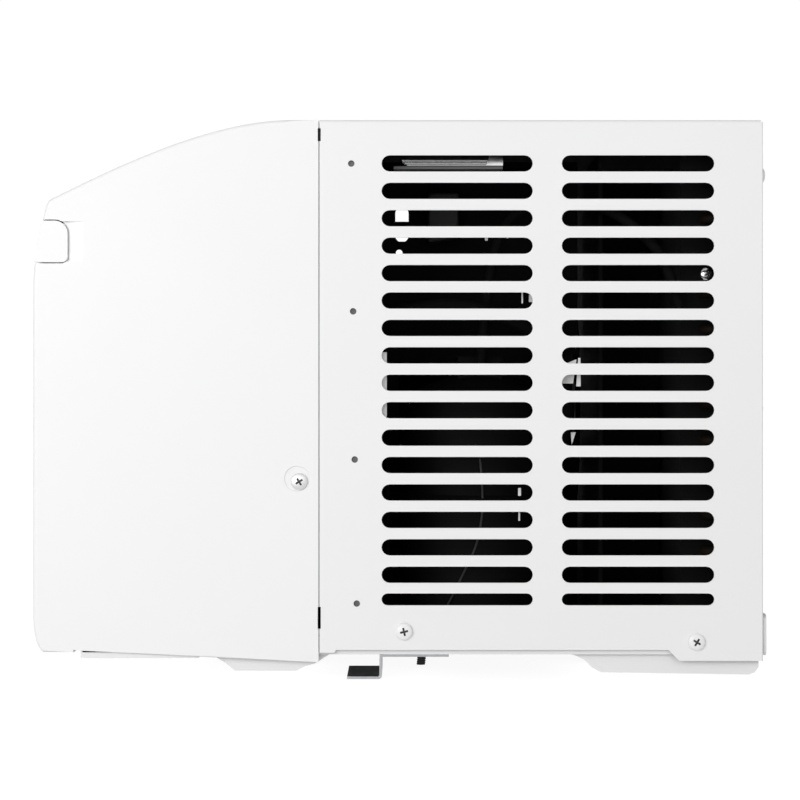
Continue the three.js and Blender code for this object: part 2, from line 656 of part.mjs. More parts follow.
// Duct that turns the air forward from the volute to the louvres.
function dischargeDuct() {
  const side = outline([
    [-182, 300.4], [-229, 300.8], [-234, 306], [-233, 334], [-160, 365], [-150, 362], [-100, 352], [-86, 340],
    [-86, 300.4],
  ]);
  const hollow = outline([
    [-178, 290], [-178, 304], [-227, 304.4], [-230.5, 308], [-229.5, 336], [-160, 372], [-154, 359],
    [-104, 348.5], [-90, 338], [-90, 290],
  ]);
  const shell = cut(
    alongX(side, outlet.left - 4, outlet.right + 4),
    alongX(hollow, outlet.left, outlet.right),
    onSlope(block(outlet.left - 6, outlet.right + 6, -60, 60, -6.5, 20)),
  );
  const rails = [-1, 1].map((s) => onSlope(block(
    outlet.left - 1, outlet.right + 1, s * vane.railU - 1.5, s * vane.railU + 1.5,
    -vane.depth - 3, -vane.depth + 3)));
  const bearings = [];
  for (let i = 0; i < vane.count; i += 1) {
    bearings.push(onSlope(rod('y', 1.6, 2 * vane.railU + 8, vaneX(i), 0, -vane.depth, 8)));
  }
  const middle = (outlet.left + outlet.right) / 2;
  for (let i = 0; i < blade.count; i += 1) {
    const u = (i - (blade.count - 1) / 2) * blade.pitch;
    bearings.push(onSlope(rod('x', 1.5, outlet.right - outlet.left + 5.4, middle, u, -blade.depth, 8)));
  }
  return cut(join(shell, ...rails), ...bearings);
}

function fanShroud() {
  const plate = join(block(-216, 216, 140, 143, 30, 368), block(100, 103, 142, 199, 30, 368));
  const ring = rod('y', fan.radius + 9, 56, shaft.x, 168, shaft.z, 36);
  const bore = rod('y', fan.radius + 5.6, 80, shaft.x, 168, shaft.z, 36);
  return cut(join(plate, ring), bore);
}

function motorMount() {
  const pieces = [
    block(-110, 20, -16, -12, pan.floorZ + pan.sheet + gap, 214),
    block(-110, 20, -16, 30, pan.floorZ + pan.sheet + gap, 23),
  ];
  return cut(join(...pieces), rod('y', 34, 20, shaft.x, -14, shaft.z, 20));
}

function fanMotor() {
  const body = turned('y', [
    [6, -46], [18, -46], [18, -38], [58, -38], [62, -32], [62, 44], [56, 52], [20, 52], [20, 58],
    [6, 58], [6, -46],
  ], shaft.x, 30, shaft.z, 24);
  const lugs = [-1, 1].map((s) => block(shaft.x + s * 60 - 10, shaft.x + s * 60 + 10, -11.7, -6, 184, 196));
  return join(body, ...lugs);
}

function motorShaft() {
  const { radius, x, z, frontY, rearY } = shaft;
  return rod('y', radius, rearY - frontY, x, (frontY + rearY) / 2, z, 12);
}

function blowerWheel() {
  const { radius, frontY, rearY, blades } = wheel;
  const depth = rearY - frontY;
  const back = turned('y', [
    [shaft.radius + 0.5, 8], [12, 8], [12, 22], [16, 22], [18, 10], [radius, 10], [radius, 13], [16, 26],
    [shaft.radius + 0.5, 26], [shaft.radius + 0.5, 8],
  ].reverse().map(([r, h]) => [r, -h]), shaft.x, rearY + 6, shaft.z, 24);
  const front = turned('y', [[radius - 14, 0], [radius, 0], [radius, 3], [radius - 14, 3], [radius - 14, 0]],
    shaft.x, frontY, shaft.z, 24);
  const pieces = [back, front];
  for (let i = 0; i < blades; i += 1) {
    const plate = new THREE.BoxGeometry(13, depth - 5, 1.6);
    plate.rotateY(0.7).translate(radius - 8, 0, 0).rotateY((i * 2 * Math.PI) / blades);
    pieces.push(plate.translate(shaft.x, (frontY + rearY) / 2, shaft.z));
  }
  return join(...pieces);
}

function condenserFan() {
  const { radius, y, depth, blades, ring } = fan;
  const hub = turned('y', [
    [shaft.radius + 0.5, -15], [26, -15], [26, 15], [shaft.radius + 0.5, 15], [shaft.radius + 0.5, -15],
  ], shaft.x, y, shaft.z, 20);
  const slinger = turned('y', [
    [radius - ring, -5], [radius, -5], [radius, 5], [radius - ring, 5], [radius - ring, -5],
  ], shaft.x, y, shaft.z, 36);
  const pieces = [hub, slinger];
  for (let i = 0; i < blades; i += 1) {
    const plate = new THREE.BoxGeometry(radius - 24, 2, 62);
    plate.rotateX(0.42).translate((radius + 20) / 2, 0, 0).rotateY((i * 2 * Math.PI) / blades);
    pieces.push(plate.translate(shaft.x, y, shaft.z));
  }
  const trim = turned('y', [
    [0, -depth - 10], [radius, -depth - 10], [radius, depth + 10], [0, depth + 10],
  ], shaft.x, y, shaft.z, 36);
  const joined = solid(join(...pieces)).intersect(solid(trim));
  return cut(geometryOf(joined), rod('y', shaft.radius + gap, 80, shaft.x, y, shaft.z, 16));
}

const compressorAt = { x: 158, y: 58 };

function compressor() {
  const can = turned('z', [
    [0, 26], [50, 26], [58, 32], [58, 118], [60, 120], [60, 124], [57, 127], [57, 178], [46, 202],
    [22, 212], [0, 214],
  ], 0, 0, 0, 20);
  const feet = [0, 1, 2].map((i) => block(-14, 14, 40, 74, 27, 30).rotateZ((i * 2 * Math.PI) / 3));
  const pegs = [0, 1, 2].map((i) => rod('z', 6, 8, 0, 66, 24, 10).rotateZ((i * 2 * Math.PI) / 3));
  const cap = block(-22, 22, -16, 16, 204, 226);
  return join(can, ...feet, ...pegs, cap).translate(compressorAt.x, compressorAt.y, 0);
}

function accumulator() {
  const profile = [[0, 60], [20, 64], [26, 74], [26, 168], [20, 180], [8, 184], [0, 184]];
  return turned('z', profile, compressorAt.x - 10, compressorAt.y - 92, 0, 18);
}

// Stiffening plate that ties the bulkhead to the fan shroud, beside the compressor.
function partitionBrace() {
  const x = 96;
  const sheet = outline([
    [-63, 378], [-63, 24], [-1, 24], [-1, 222], [98, 222], [98, 24], [137, 24], [137, 164], [124, 164],
    [124, 230], [137, 230], [137, 378],
  ]);
  const wireHole = alongX(roundedRect(10.2, 27.3, 5, 1.5, 329.9), x - 2, x + 4, 3);
  const clipHole = alongX(roundedRect(5.1, 9.5, 2.4, -0.6, 305.8), x - 2, x + 4, 3);
  return cut(alongX(sheet, x, x + steel.sheet), wireHole, clipHole);
}

function controlBox() {
  const box = block(98, 214, -146, -90, 200, 318);
  return cut(box, block(100, 212, -150, -92, 202, 316));
}

function runCapacitor() {
  return turned('y', [[0, -134], [20, -134], [20, -96], [17, -94], [0, -94]], 140, 0, 260, 18);
}

function cordGland() {
  const x = 214;
  const collar = block(x - 9, x + 9, -232, -228, 24, 32.6);
  return join(collar, rod('y', 5, 10, x, -227, 28, 12));
}

// ---------------------------------------------------------------- assembly

add('base_pan', basePan(), materials.panGrey);
add('outer_case', outerCase(), materials.caseWhite);
add('rear_guard', rearGuard(), materials.caseWhite);
add('front_cover', frontCover(), materials.cover);

for (const [side, word] of [[1, 'right'], [-1, 'left']]) {
  add(`sill_bracket_${word}`, sillBracket(side * bracket.x), materials.zinc);
  add(`bracket_stud_${word}`, bracketStud(side * bracket.x), materials.black);
  const seat = side * (halfWidth - coverScrew.dimpleDepth + gap);
  add(
    `cover_screw_${word}`,
    sideScrew(side, seat, coverScrew.y, coverScrew.z, coverScrew.head, 1.7),
    materials.bright,
  );
  for (const [place, y, z] of caseScrews) {
    const screw = sideScrew(side, side * (halfWidth + gap), y, z, 6, 1.7);
    add(`case_screw_${word}_${place}`, screw, materials.caseWhite);
  }
}

add('intake_grille', intakeGrille(), materials.cover);
add('filter_frame', filterFrame(), materials.filter);
add('filter_mesh', filterMesh(), materials.filter);

add('control_panel', controlPanel(), materials.key, slopeGroup);
add('display_lens', displayLens(), materials.lens, slopeGroup);
add('circuit_board', circuitBoard(), materials.board, slopeGroup);
for (const [name, x, u, w, h] of buttons) {
  add(name, pushButton(x, u, w, h), materials.key, slopeGroup);
}

for (let i = 0; i < blade.count; i += 1) {
  const louvre = add(`louvre_${i + 1}`, louvreBlade(), materials.cover, slopeGroup);
  louvre.position.set(0, (i - (blade.count - 1) / 2) * blade.pitch, -blade.depth);
  louvre.rotation.x = THREE.MathUtils.degToRad(blade.rest);
}
for (let i = 0; i < vane.count; i += 1) {
  const plate = add(`air_vane_${i + 1}`, airVane(), materials.cover, slopeGroup);
  plate.position.set(vaneX(i), 0, -vane.depth);
}
add('vane_link', vaneLink(), materials.key, slopeGroup);
add('vent_lever', ventLever(), materials.key, slopeGroup);
add('vent_door', ventDoor(), materials.foam);

add('bulkhead', bulkhead(), materials.zinc);
add('evaporator_coil', evaporatorCoil(), materials.fins);
add('condenser_coil', condenserCoil(), materials.fins);
add('blower_scroll', blowerScroll(), materials.foam);
add('discharge_duct', dischargeDuct(), materials.foam);
add('fan_shroud', fanShroud(), materials.black);
add('motor_mount', motorMount(), materials.zinc);
add('fan_motor', fanMotor(), materials.blackPaint);
add('motor_shaft', motorShaft(), materials.bright);
add('blower_wheel', blowerWheel(), materials.black);
add('condenser_fan', condenserFan(), materials.black);
add('compressor', compressor(), materials.blackPaint);
add('accumulator', accumulator(), materials.blackPaint);
add('partition_brace', partitionBrace(), materials.zinc);
add('control_box', controlBox(), materials.zinc);
add('run_capacitor', runCapacitor(), materials.fins);
add('cord_gland', cordGland(), materials.black);

const { x: compX, y: compY } = compressorAt;
add('suction_tube', tube([
  [compX - 10, compY - 92, 188], [compX - 10, compY - 92, 232], [compX, -46, 250], [200, -40, 250],
  [200, 40, 262], [200, 100, 240], [190, 120, 200], [186, 118, 160],
], 5, 30), materials.copper);
add('discharge_tube', tube([
  [compX + 30, compY, 216], [compX + 34, compY + 10, 300], [212, 90, 330], [222, 140, 330],
  [224, 180, 300], [223, 196, 260],
], 4, 26), materials.copper);
add('capillary_tube', tube([
  [70, 100, 60], [78, 60, 90], [84, 20, 130], [90, -20, 150], [92, -50, 140], [90, -62, 120],
], 2, 24, 6), materials.copper);

export default unit;
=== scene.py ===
import json
import math

import bmesh
import bpy
from mathutils import Matrix, Vector


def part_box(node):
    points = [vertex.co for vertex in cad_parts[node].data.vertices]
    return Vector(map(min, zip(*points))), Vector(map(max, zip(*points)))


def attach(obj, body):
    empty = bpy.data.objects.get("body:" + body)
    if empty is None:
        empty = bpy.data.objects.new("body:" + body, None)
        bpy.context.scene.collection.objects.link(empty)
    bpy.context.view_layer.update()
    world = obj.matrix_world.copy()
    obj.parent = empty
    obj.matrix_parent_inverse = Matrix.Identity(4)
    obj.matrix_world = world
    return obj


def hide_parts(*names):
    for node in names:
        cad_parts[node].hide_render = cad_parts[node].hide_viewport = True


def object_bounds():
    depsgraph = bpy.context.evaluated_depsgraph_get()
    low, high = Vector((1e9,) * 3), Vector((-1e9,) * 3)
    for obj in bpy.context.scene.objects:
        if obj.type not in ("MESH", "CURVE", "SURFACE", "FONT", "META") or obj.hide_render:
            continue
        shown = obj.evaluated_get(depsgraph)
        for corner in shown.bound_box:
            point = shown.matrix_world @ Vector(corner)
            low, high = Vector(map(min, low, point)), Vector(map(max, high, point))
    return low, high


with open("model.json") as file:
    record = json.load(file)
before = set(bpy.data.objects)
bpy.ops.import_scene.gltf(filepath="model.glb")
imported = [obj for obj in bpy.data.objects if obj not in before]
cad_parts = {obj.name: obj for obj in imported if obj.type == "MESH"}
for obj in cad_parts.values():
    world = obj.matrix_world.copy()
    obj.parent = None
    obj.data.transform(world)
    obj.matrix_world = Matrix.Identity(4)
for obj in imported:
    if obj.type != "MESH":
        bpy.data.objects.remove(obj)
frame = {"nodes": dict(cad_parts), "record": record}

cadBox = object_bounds()
mm = 0.001
joints = {joint["name"]: joint for joint in frame["record"]["behaviour"]["joints"]}

# The sloping top of the cover has its own directions: across, up the slope and out of it.
slopeUp = Vector(joints["vent_lever_slide"]["axis"]).normalized()
slopeOut = -Vector(joints["power_button_press"]["axis"]).normalized()
middlePivot = Vector(joints["louvre_3_tilt"]["pos_m"])
slopeShape = {"pivotDepth": 9.5 * mm}
slopeOrigin = middlePivot + slopeOut * slopeShape["pivotDepth"]
slopeMatrix = Matrix((
    (1, slopeUp.x, slopeOut.x, slopeOrigin.x),
    (0, slopeUp.y, slopeOut.y, slopeOrigin.y),
    (0, slopeUp.z, slopeOut.z, slopeOrigin.z),
    (0, 0, 0, 1),
))


# Node groups shared by the finishes

def newGroup(name, inputs, outputs):
    group = bpy.data.node_groups.new(name, "ShaderNodeTree")
    for label, kind, value in inputs:
        item = group.interface.new_socket(label, in_out="INPUT", socket_type=kind)
        item.default_value = value
    for label, kind in outputs:
        group.interface.new_socket(label, in_out="OUTPUT", socket_type=kind)
    start = group.nodes.new("NodeGroupInput")
    end = group.nodes.new("NodeGroupOutput")
    return group, start, end


def addNode(tree, kind, **values):
    node = tree.nodes.new(kind)
    for key, value in values.items():
        setattr(node, key, value)
    return node


def noiseAt(tree, source, scale, detail=3.0, roughness=0.5):
    noise = addNode(tree, "ShaderNodeTexNoise")
    tree.links.new(source, noise.inputs["Vector"])
    if isinstance(scale, float):
        noise.inputs["Scale"].default_value = scale
    else:
        tree.links.new(scale, noise.inputs["Scale"])
    noise.inputs["Detail"].default_value = detail
    noise.inputs["Roughness"].default_value = roughness
    return noise.outputs["Fac"]


def mathAt(tree, operation, a, b=None, c=None):
    node = addNode(tree, "ShaderNodeMath", operation=operation)
    for index, value in enumerate((a, b, c)):
        if value is None:
            continue
        if isinstance(value, (int, float)):
            node.inputs[index].default_value = value
        else:
            tree.links.new(value, node.inputs[index])
    return node.outputs[0]


def rampAt(tree, source, low, high, toLow=0.0, toHigh=1.0):
    node = addNode(tree, "ShaderNodeMapRange")
    node.inputs["From Min"].default_value = low
    node.inputs["From Max"].default_value = high
    node.inputs["To Min"].default_value = toLow
    node.inputs["To Max"].default_value = toHigh
    tree.links.new(source, node.inputs["Value"])
    return node.outputs["Result"]


def mixColor(tree, factor, a, b):
    node = addNode(tree, "ShaderNodeMix", data_type="RGBA")
    tree.links.new(factor, node.inputs["Factor"])
    for socket, value in ((node.inputs[6], a), (node.inputs[7], b)):
        if isinstance(value, tuple):
            socket.default_value = (*value, 1)
        else:
            tree.links.new(value, socket)
    return node.outputs[2]


def makeMottleGroup():
    # Slow drift of tone over a moulding or a painted sheet, with a rougher patch here and there.
    group, start, end = newGroup(
        "slowMottle",
        [("Color", "NodeSocketColor", (1, 1, 1, 1)), ("Shade", "NodeSocketColor", (0.8, 0.8, 0.8, 1)),
         ("Scale", "NodeSocketFloat", 12.0), ("Amount", "NodeSocketFloat", 0.3),
         ("Roughness", "NodeSocketFloat", 0.4), ("Spread", "NodeSocketFloat", 0.1)],
        [("Color", "NodeSocketColor"), ("Roughness", "NodeSocketFloat")])
    place = addNode(group, "ShaderNodeTexCoord").outputs["Object"]
    slow = noiseAt(group, place, start.outputs["Scale"], 4.0, 0.55)
    mask = mathAt(group, "MULTIPLY", rampAt(group, slow, 0.35, 0.7), start.outputs["Amount"])
    mixed = mixColor(group, mask, start.outputs["Color"], start.outputs["Shade"])
    group.links.new(mixed, end.inputs["Color"])
    fine = noiseAt(group, place, 140.0, 2.0)
    drift = mathAt(group, "MULTIPLY", mathAt(group, "SUBTRACT", mathAt(group, "ADD", slow, fine), 1.0),
                   start.outputs["Spread"])
    group.links.new(mathAt(group, "ADD", drift, start.outputs["Roughness"]), end.inputs["Roughness"])
    return group


def makeGrainGroup():
    # Height of a spark-eroded mould texture, or of orange peel when the scale is low.
    group, start, end = newGroup(
        "surfaceGrain",
        [("Scale", "NodeSocketFloat", 900.0), ("Wave", "NodeSocketFloat", 0.3)],
        [("Height", "NodeSocketFloat")])
    place = addNode(group, "ShaderNodeTexCoord").outputs["Object"]
    fine = noiseAt(group, place, start.outputs["Scale"], 3.0, 0.6)
    coarse = noiseAt(group, place, mathAt(group, "MULTIPLY", start.outputs["Scale"], 0.12), 1.0, 0.5)
    waved = mathAt(group, "MULTIPLY", coarse, start.outputs["Wave"])
    group.links.new(mathAt(group, "ADD", fine, waved), end.inputs["Height"])
    return group


def makeDustGroup():
    # Painted shade: darkens upward faces, more in some patches than in others.
    group, start, end = newGroup(
        "settledDust",
        [("Color", "NodeSocketColor", (1, 1, 1, 1)), ("Dust", "NodeSocketColor", (0.3, 0.3, 0.3, 1)),
         ("Amount", "NodeSocketFloat", 0.5)],
        [("Color", "NodeSocketColor"), ("Mask", "NodeSocketFloat")])
    place = addNode(group, "ShaderNodeTexCoord").outputs["Object"]
    normal = addNode(group, "ShaderNodeNewGeometry").outputs["Normal"]
    split = addNode(group, "ShaderNodeSeparateXYZ")
    group.links.new(normal, split.inputs[0])
    up = rampAt(group, split.outputs["Z"], 0.25, 0.95)
    patch = rampAt(group, noiseAt(group, place, 28.0, 4.0, 0.6), 0.3, 0.65, 0.35, 1.0)
    mask = mathAt(group, "MULTIPLY", mathAt(group, "MULTIPLY", up, patch), start.outputs["Amount"])
    mixed = mixColor(group, mask, start.outputs["Color"], start.outputs["Dust"])
    group.links.new(mixed, end.inputs["Color"])
    group.links.new(mask, end.inputs["Mask"])
    return group


slowMottle = makeMottleGroup()
surfaceGrain = makeGrainGroup()
settledDust = makeDustGroup()
print("node groups built")


# Finishes

def placeGroup(tree, group, **values):
    node = addNode(tree, "ShaderNodeGroup", node_tree=group)
    for key, value in values.items():
        socket = node.inputs[key]
        socket.default_value = (*value, 1) if isinstance(value, tuple) else value
    return node


def newFinish(name, color, shade, rough, spread=0.08, metallic=0.0, mottleScale=12.0, amount=0.35,
              grainScale=900.0, wave=0.3, bump=0.05, distance=0.0002, coat=0.0, upShade=None, upShadeAmount=0.5,
              specular=0.5):
    material = bpy.data.materials.new(name)
    material.use_nodes = True
    tree = material.node_tree
    shader = tree.nodes["Principled BSDF"]
    shader.inputs["Metallic"].default_value = metallic
    shader.inputs["Coat Weight"].default_value = coat
    shader.inputs["Specular IOR Level"].default_value = specular
    shader.inputs["Coat Roughness"].default_value = 0.12
    mottle = placeGroup(tree, slowMottle, Color=color, Shade=shade, Scale=mottleScale, Amount=amount,
                        Roughness=rough, Spread=spread)
    base = mottle.outputs["Color"]
    if upShade:
        upShaded = placeGroup(tree, settledDust, Dust=upShade, Amount=upShadeAmount)
        tree.links.new(base, upShaded.inputs["Color"])
        base = upShaded.outputs["Color"]
    tree.links.new(base, shader.inputs["Base Color"])
    tree.links.new(mottle.outputs["Roughness"], shader.inputs["Roughness"])
    grain = placeGroup(tree, surfaceGrain, Scale=grainScale, Wave=wave)
    relief = addNode(tree, "ShaderNodeBump")
    relief.inputs["Strength"].default_value = bump
    relief.inputs["Distance"].default_value = distance
    tree.links.new(grain.outputs["Height"], relief.inputs["Height"])
    tree.links.new(relief.outputs["Normal"], shader.inputs["Normal"])
    return material


def spangleFinish(name, color, shade, rough):
    # Galvanised sheet: flat crystals of slightly different tone.
    material = newFinish(name, color, shade, rough, spread=0.1, metallic=1.0, mottleScale=30.0, bump=0.03)
    tree = material.node_tree
    shader = tree.nodes["Principled BSDF"]
    place = addNode(tree, "ShaderNodeTexCoord").outputs["Object"]
    cells = addNode(tree, "ShaderNodeTexVoronoi")
    cells.inputs["Scale"].default_value = 130.0
    tree.links.new(place, cells.inputs["Vector"])
    tone = rampAt(tree, cells.outputs["Color"], 0.0, 1.0, 0.0, 0.6)
    mixed = mixColor(tree, tone, color, shade)
    tree.links.new(mixed, shader.inputs["Base Color"])
    return material


def beadFinish(name):
    # Expanded foam: pressed beads a few millimetres across.
    material = newFinish(name, (0.84, 0.84, 0.82), (0.7, 0.7, 0.67), 0.8, bump=0.1)
    tree = material.node_tree
    shader = tree.nodes["Principled BSDF"]
    place = addNode(tree, "ShaderNodeTexCoord").outputs["Object"]
    cells = addNode(tree, "ShaderNodeTexVoronoi", feature="DISTANCE_TO_EDGE")
    cells.inputs["Scale"].default_value = 260.0
    tree.links.new(place, cells.inputs["Vector"])
    edge = rampAt(tree, cells.outputs["Distance"], 0.0, 0.12)
    relief = addNode(tree, "ShaderNodeBump")
    relief.inputs["Strength"].default_value = 0.35
    relief.inputs["Distance"].default_value = 0.0004
    tree.links.new(edge, relief.inputs["Height"])
    tree.links.new(relief.outputs["Normal"], shader.inputs["Normal"])
    return material


def screenFinish(name):
    # Woven filter screen: fine threads with open squares between them.
    material = newFinish(name, (0.1, 0.13, 0.16), (0.16, 0.18, 0.2), 0.6)
    tree = material.node_tree
    shader = tree.nodes["Principled BSDF"]
    place = addNode(tree, "ShaderNodeTexCoord").outputs["Object"]
    split = addNode(tree, "ShaderNodeSeparateXYZ")
    tree.links.new(place, split.inputs[0])
    pitch = 1.3 * mm
    threads = []
    for axis in ("X", "Z"):
        phase = mathAt(tree, "FRACT", mathAt(tree, "DIVIDE", split.outputs[axis], pitch))
        threads.append(mathAt(tree, "ABSOLUTE", mathAt(tree, "SUBTRACT", phase, 0.5)))
    weave = mathAt(tree, "MAXIMUM", threads[0], threads[1])
    tree.links.new(rampAt(tree, weave, 0.3, 0.36), shader.inputs["Alpha"])
    return material


finishes = {
    "cover": newFinish("coverPlastic", (0.854, 0.854, 0.854), (0.834, 0.834, 0.835), 0.42, amount=0.3,
                       grainScale=1100.0, bump=0.06, distance=0.00015),
    "case": newFinish("caseEnamel", (0.84, 0.84, 0.84), (0.812, 0.812, 0.813), 0.34, amount=0.35,
                      mottleScale=9.0, grainScale=420.0, wave=0.6, bump=0.05, distance=0.0002, coat=0.15),
    # The pan's upward faces get near-black painted shade, mixed in at up to 0.95.
    "pan": newFinish("panEnamel", (0.8, 0.8, 0.8), (0.75, 0.75, 0.752), 0.4, grainScale=420.0, wave=0.6,
                     bump=0.08, distance=0.0002, upShade=(0.05, 0.05, 0.05), upShadeAmount=0.95),
    # Near-black painted shade, with little specular, for the inner faces of the case, the rear guard and
    # the pan, which are painted like the outside.
    "paintedInnerShade": newFinish("innerShadeBlack", (0.004, 0.004, 0.004), (0.006, 0.006, 0.006), 0.9, bump=0.2,
                           specular=0.08),
    "zinc": spangleFinish("zincSheet", (0.62, 0.63, 0.65), (0.48, 0.49, 0.51), 0.32),
    # Near-black painted shade, with little specular, for the sheet parts inside the case.
    "darkSheet": newFinish("darkSheet", (0.004, 0.004, 0.004), (0.007, 0.007, 0.007), 0.75, bump=0.1,
                           specular=0.08),
    "bright": newFinish("platedSteel", (0.78, 0.78, 0.79), (0.62, 0.62, 0.63), 0.2, spread=0.15,
                        metallic=1.0, mottleScale=60.0, bump=0.03),
    # Black moulding, darker and less shiny than real black plastic: its own black colour plus painted shade
    # for the parts inside.
    "blackPlasticShade": newFinish("blackMouldingShade", (0.003, 0.003, 0.003), (0.005, 0.005, 0.005), 0.7, bump=0.12,
                              specular=0.04),
    # Black enamel, darker and less shiny than real enamel: the compressor's and motor's own black plus
    # painted shade.
    "blackEnamelShade": newFinish("blackEnamelShade", (0.003, 0.003, 0.003), (0.006, 0.006, 0.006), 0.6,
                             grainScale=300.0, wave=0.8, bump=0.1, specular=0.06),
    "blackOxide": newFinish("blackOxide", (0.012, 0.012, 0.012), (0.03, 0.03, 0.03), 0.28, metallic=0.5,
                            mottleScale=200.0, bump=0.05),
    "fins": newFinish("finAluminium", (0.8, 0.81, 0.82), (0.68, 0.69, 0.7), 0.42, metallic=0.35,
                      grainScale=500.0, bump=0.08),
    # Near-black painted shade, with little specular, on the condenser fins.
    "coatedFins": newFinish("coatedFins", (0.012, 0.012, 0.013), (0.02, 0.02, 0.021), 0.6, metallic=0.2,
                            grainScale=500.0, bump=0.08, specular=0.1),
    "cable": newFinish("cableSleeve", (0.04, 0.04, 0.04), (0.03, 0.03, 0.03), 0.5, bump=0.05,
                       specular=0.2),
    "copper": newFinish("copperTube", (0.72, 0.36, 0.22), (0.42, 0.2, 0.13), 0.3, metallic=1.0,
                        mottleScale=45.0, amount=0.7, bump=0.05),
    # Near-black painted shade, with little specular, on the refrigerant tubes inside the case.
    "sleeve": newFinish("tubeShadeDark", (0.004, 0.004, 0.004), (0.006, 0.006, 0.006), 0.8, bump=0.15,
                        specular=0.06),
    # Near-black painted shade, with little specular, on the condenser's copper return bends.
    "tarnish": newFinish("bendShadeDark", (0.012, 0.008, 0.006), (0.007, 0.005, 0.004), 0.6,
                         mottleScale=45.0, amount=0.7, bump=0.05, specular=0.05),
    "tab": newFinish("screwTab", (0.16, 0.16, 0.16), (0.12, 0.12, 0.12), 0.5, metallic=0.3, bump=0.1),
    "nylon": newFinish("naturalNylon", (0.88, 0.88, 0.87), (0.82, 0.82, 0.81), 0.35, bump=0.05),
    "satin": newFinish("satinZinc", (0.88, 0.88, 0.88), (0.76, 0.76, 0.77), 0.42, metallic=0.7,
                       mottleScale=80.0, bump=0.04),
    # Dark finish for the faces down in a screw's cross recess: painted shade.
    "recess": newFinish("recessShadeDark", (0.1, 0.1, 0.1), (0.05, 0.05, 0.05), 0.45, metallic=0.6,
                        mottleScale=300.0, bump=0.1),
    "foam": beadFinish("pressedFoam"),
    "lens": newFinish("tintedLens", (0.006, 0.007, 0.008), (0.01, 0.01, 0.011), 0.08, spread=0.03,
                      bump=0.01, coat=0.6),
    "board": newFinish("boardGreen", (0.01, 0.09, 0.03), (0.02, 0.14, 0.05), 0.35, mottleScale=90.0,
                       bump=0.1),
    "key": newFinish("keyPlastic", (0.8, 0.81, 0.82), (0.76, 0.77, 0.78), 0.38, bump=0.05),
    "mark": newFinish("keyMark", (0.16, 0.19, 0.23), (0.2, 0.23, 0.27), 0.5, bump=0.03),
    "filterFrame": newFinish("filterFrame", (0.11, 0.14, 0.17), (0.15, 0.18, 0.2), 0.5, bump=0.1),
    "filterScreen": screenFinish("filterScreen"),
}
slotFinishes = {
    "cover_plastic": "cover", "case_paint": "case", "pan_paint": "pan", "zinc_steel": "zinc",
    "bright_steel": "bright", "black_plastic": "blackPlasticShade", "black_paint": "blackEnamelShade",
    "coil_fins": "fins", "copper": "copper", "foam": "foam", "lens": "lens", "board": "board",
    "key_plastic": "key", "filter_plastic": "filterFrame",
}
print("finishes built")


# Mesh helpers

def meshPiece(name, verts, faces, finish):
    mesh = bpy.data.meshes.new(name)
    mesh.from_pydata([tuple(v) for v in verts], [], faces)
    work = bmesh.new()
    work.from_mesh(mesh)
    bmesh.ops.remove_doubles(work, verts=work.verts, dist=1e-7)
    bmesh.ops.recalc_face_normals(work, faces=work.faces)
    work.to_mesh(mesh)
    work.free()
    piece = bpy.data.objects.new(name, mesh)
    bpy.context.scene.collection.objects.link(piece)
    if finish:
        mesh.materials.append(finishes[finish])
    return piece


def toRow(plane, along, a, b):
    # An outline point (a, b) set at `along` on the axis that the plane is named for.
    if plane == "x":
        return Vector((along, a, b))
    if plane == "y":
        return Vector((a, along, b))
    return Vector((a, b, along))


def prismParts(outline, plane, start, end):
    count = len(outline)
    verts = [toRow(plane, start, *p) for p in outline] + [toRow(plane, end, *p) for p in outline]
    faces = [(i, (i + 1) % count, count + (i + 1) % count, count + i) for i in range(count)]
    faces += [tuple(range(count))[::-1], tuple(range(count, 2 * count))]
    return verts, faces


def joinParts(parts):
    verts, faces = [], []
    for someVerts, someFaces in parts:
        shift = len(verts)
        verts += someVerts
        faces += [tuple(i + shift for i in face) for face in someFaces]
    return verts, faces


def prism(name, outline, plane, start, end, finish):
    return meshPiece(name, *prismParts(outline, plane, start, end), finish)


def boxParts(low, high):
    outline = [(low[0], low[1]), (high[0], low[1]), (high[0], high[1]), (low[0], high[1])]
    return prismParts(outline, "z", low[2], high[2])


def arc(cx, cy, radius, fromDeg, toDeg, steps):
    points = []
    for i in range(steps + 1):
        turn = math.radians(fromDeg + (toDeg - fromDeg) * i / steps)
        points.append((cx + radius * math.cos(turn), cy + radius * math.sin(turn)))
    return points


def roundedOutline(cx, cy, width, height, radius, steps=5):
    x, y = width / 2 - radius, height / 2 - radius
    return (arc(cx + x, cy + y, radius, 0, 90, steps) + arc(cx - x, cy + y, radius, 90, 180, steps)
            + arc(cx - x, cy - y, radius, 180, 270, steps) + arc(cx + x, cy - y, radius, 270, 360, steps))


def slotOutline(a0, a1, b, height, steps=10):
    r = height / 2
    return arc(a1 - r, b, r, -90, 90, steps) + arc(a0 + r, b, r, 90, 270, steps)


def latheParts(profile, sides, place=Matrix()):
    # Profile of (radius, height) pairs about Z; it starts and ends on the axis or closes on itself.
    verts, rings = [], []
    for radius, height in profile:
        if radius < 1e-7:
            rings.append([len(verts)])
            verts.append(place @ Vector((0, 0, height)))
            continue
        rings.append(list(range(len(verts), len(verts) + sides)))
        for i in range(sides):
            turn = 2 * math.pi * i / sides
            verts.append(place @ Vector((radius * math.cos(turn), radius * math.sin(turn), height)))
    faces = []
    for low, high in zip(rings, rings[1:]):
        for i in range(sides):
            j = (i + 1) % sides
            if len(low) == 1 and len(high) > 1:
                faces.append((low[0], high[i], high[j]))
            elif len(high) == 1 and len(low) > 1:
                faces.append((low[i], low[j], high[0]))
            elif len(low) > 1:
                faces.append((low[i], low[j], high[j], high[i]))
    return verts, faces


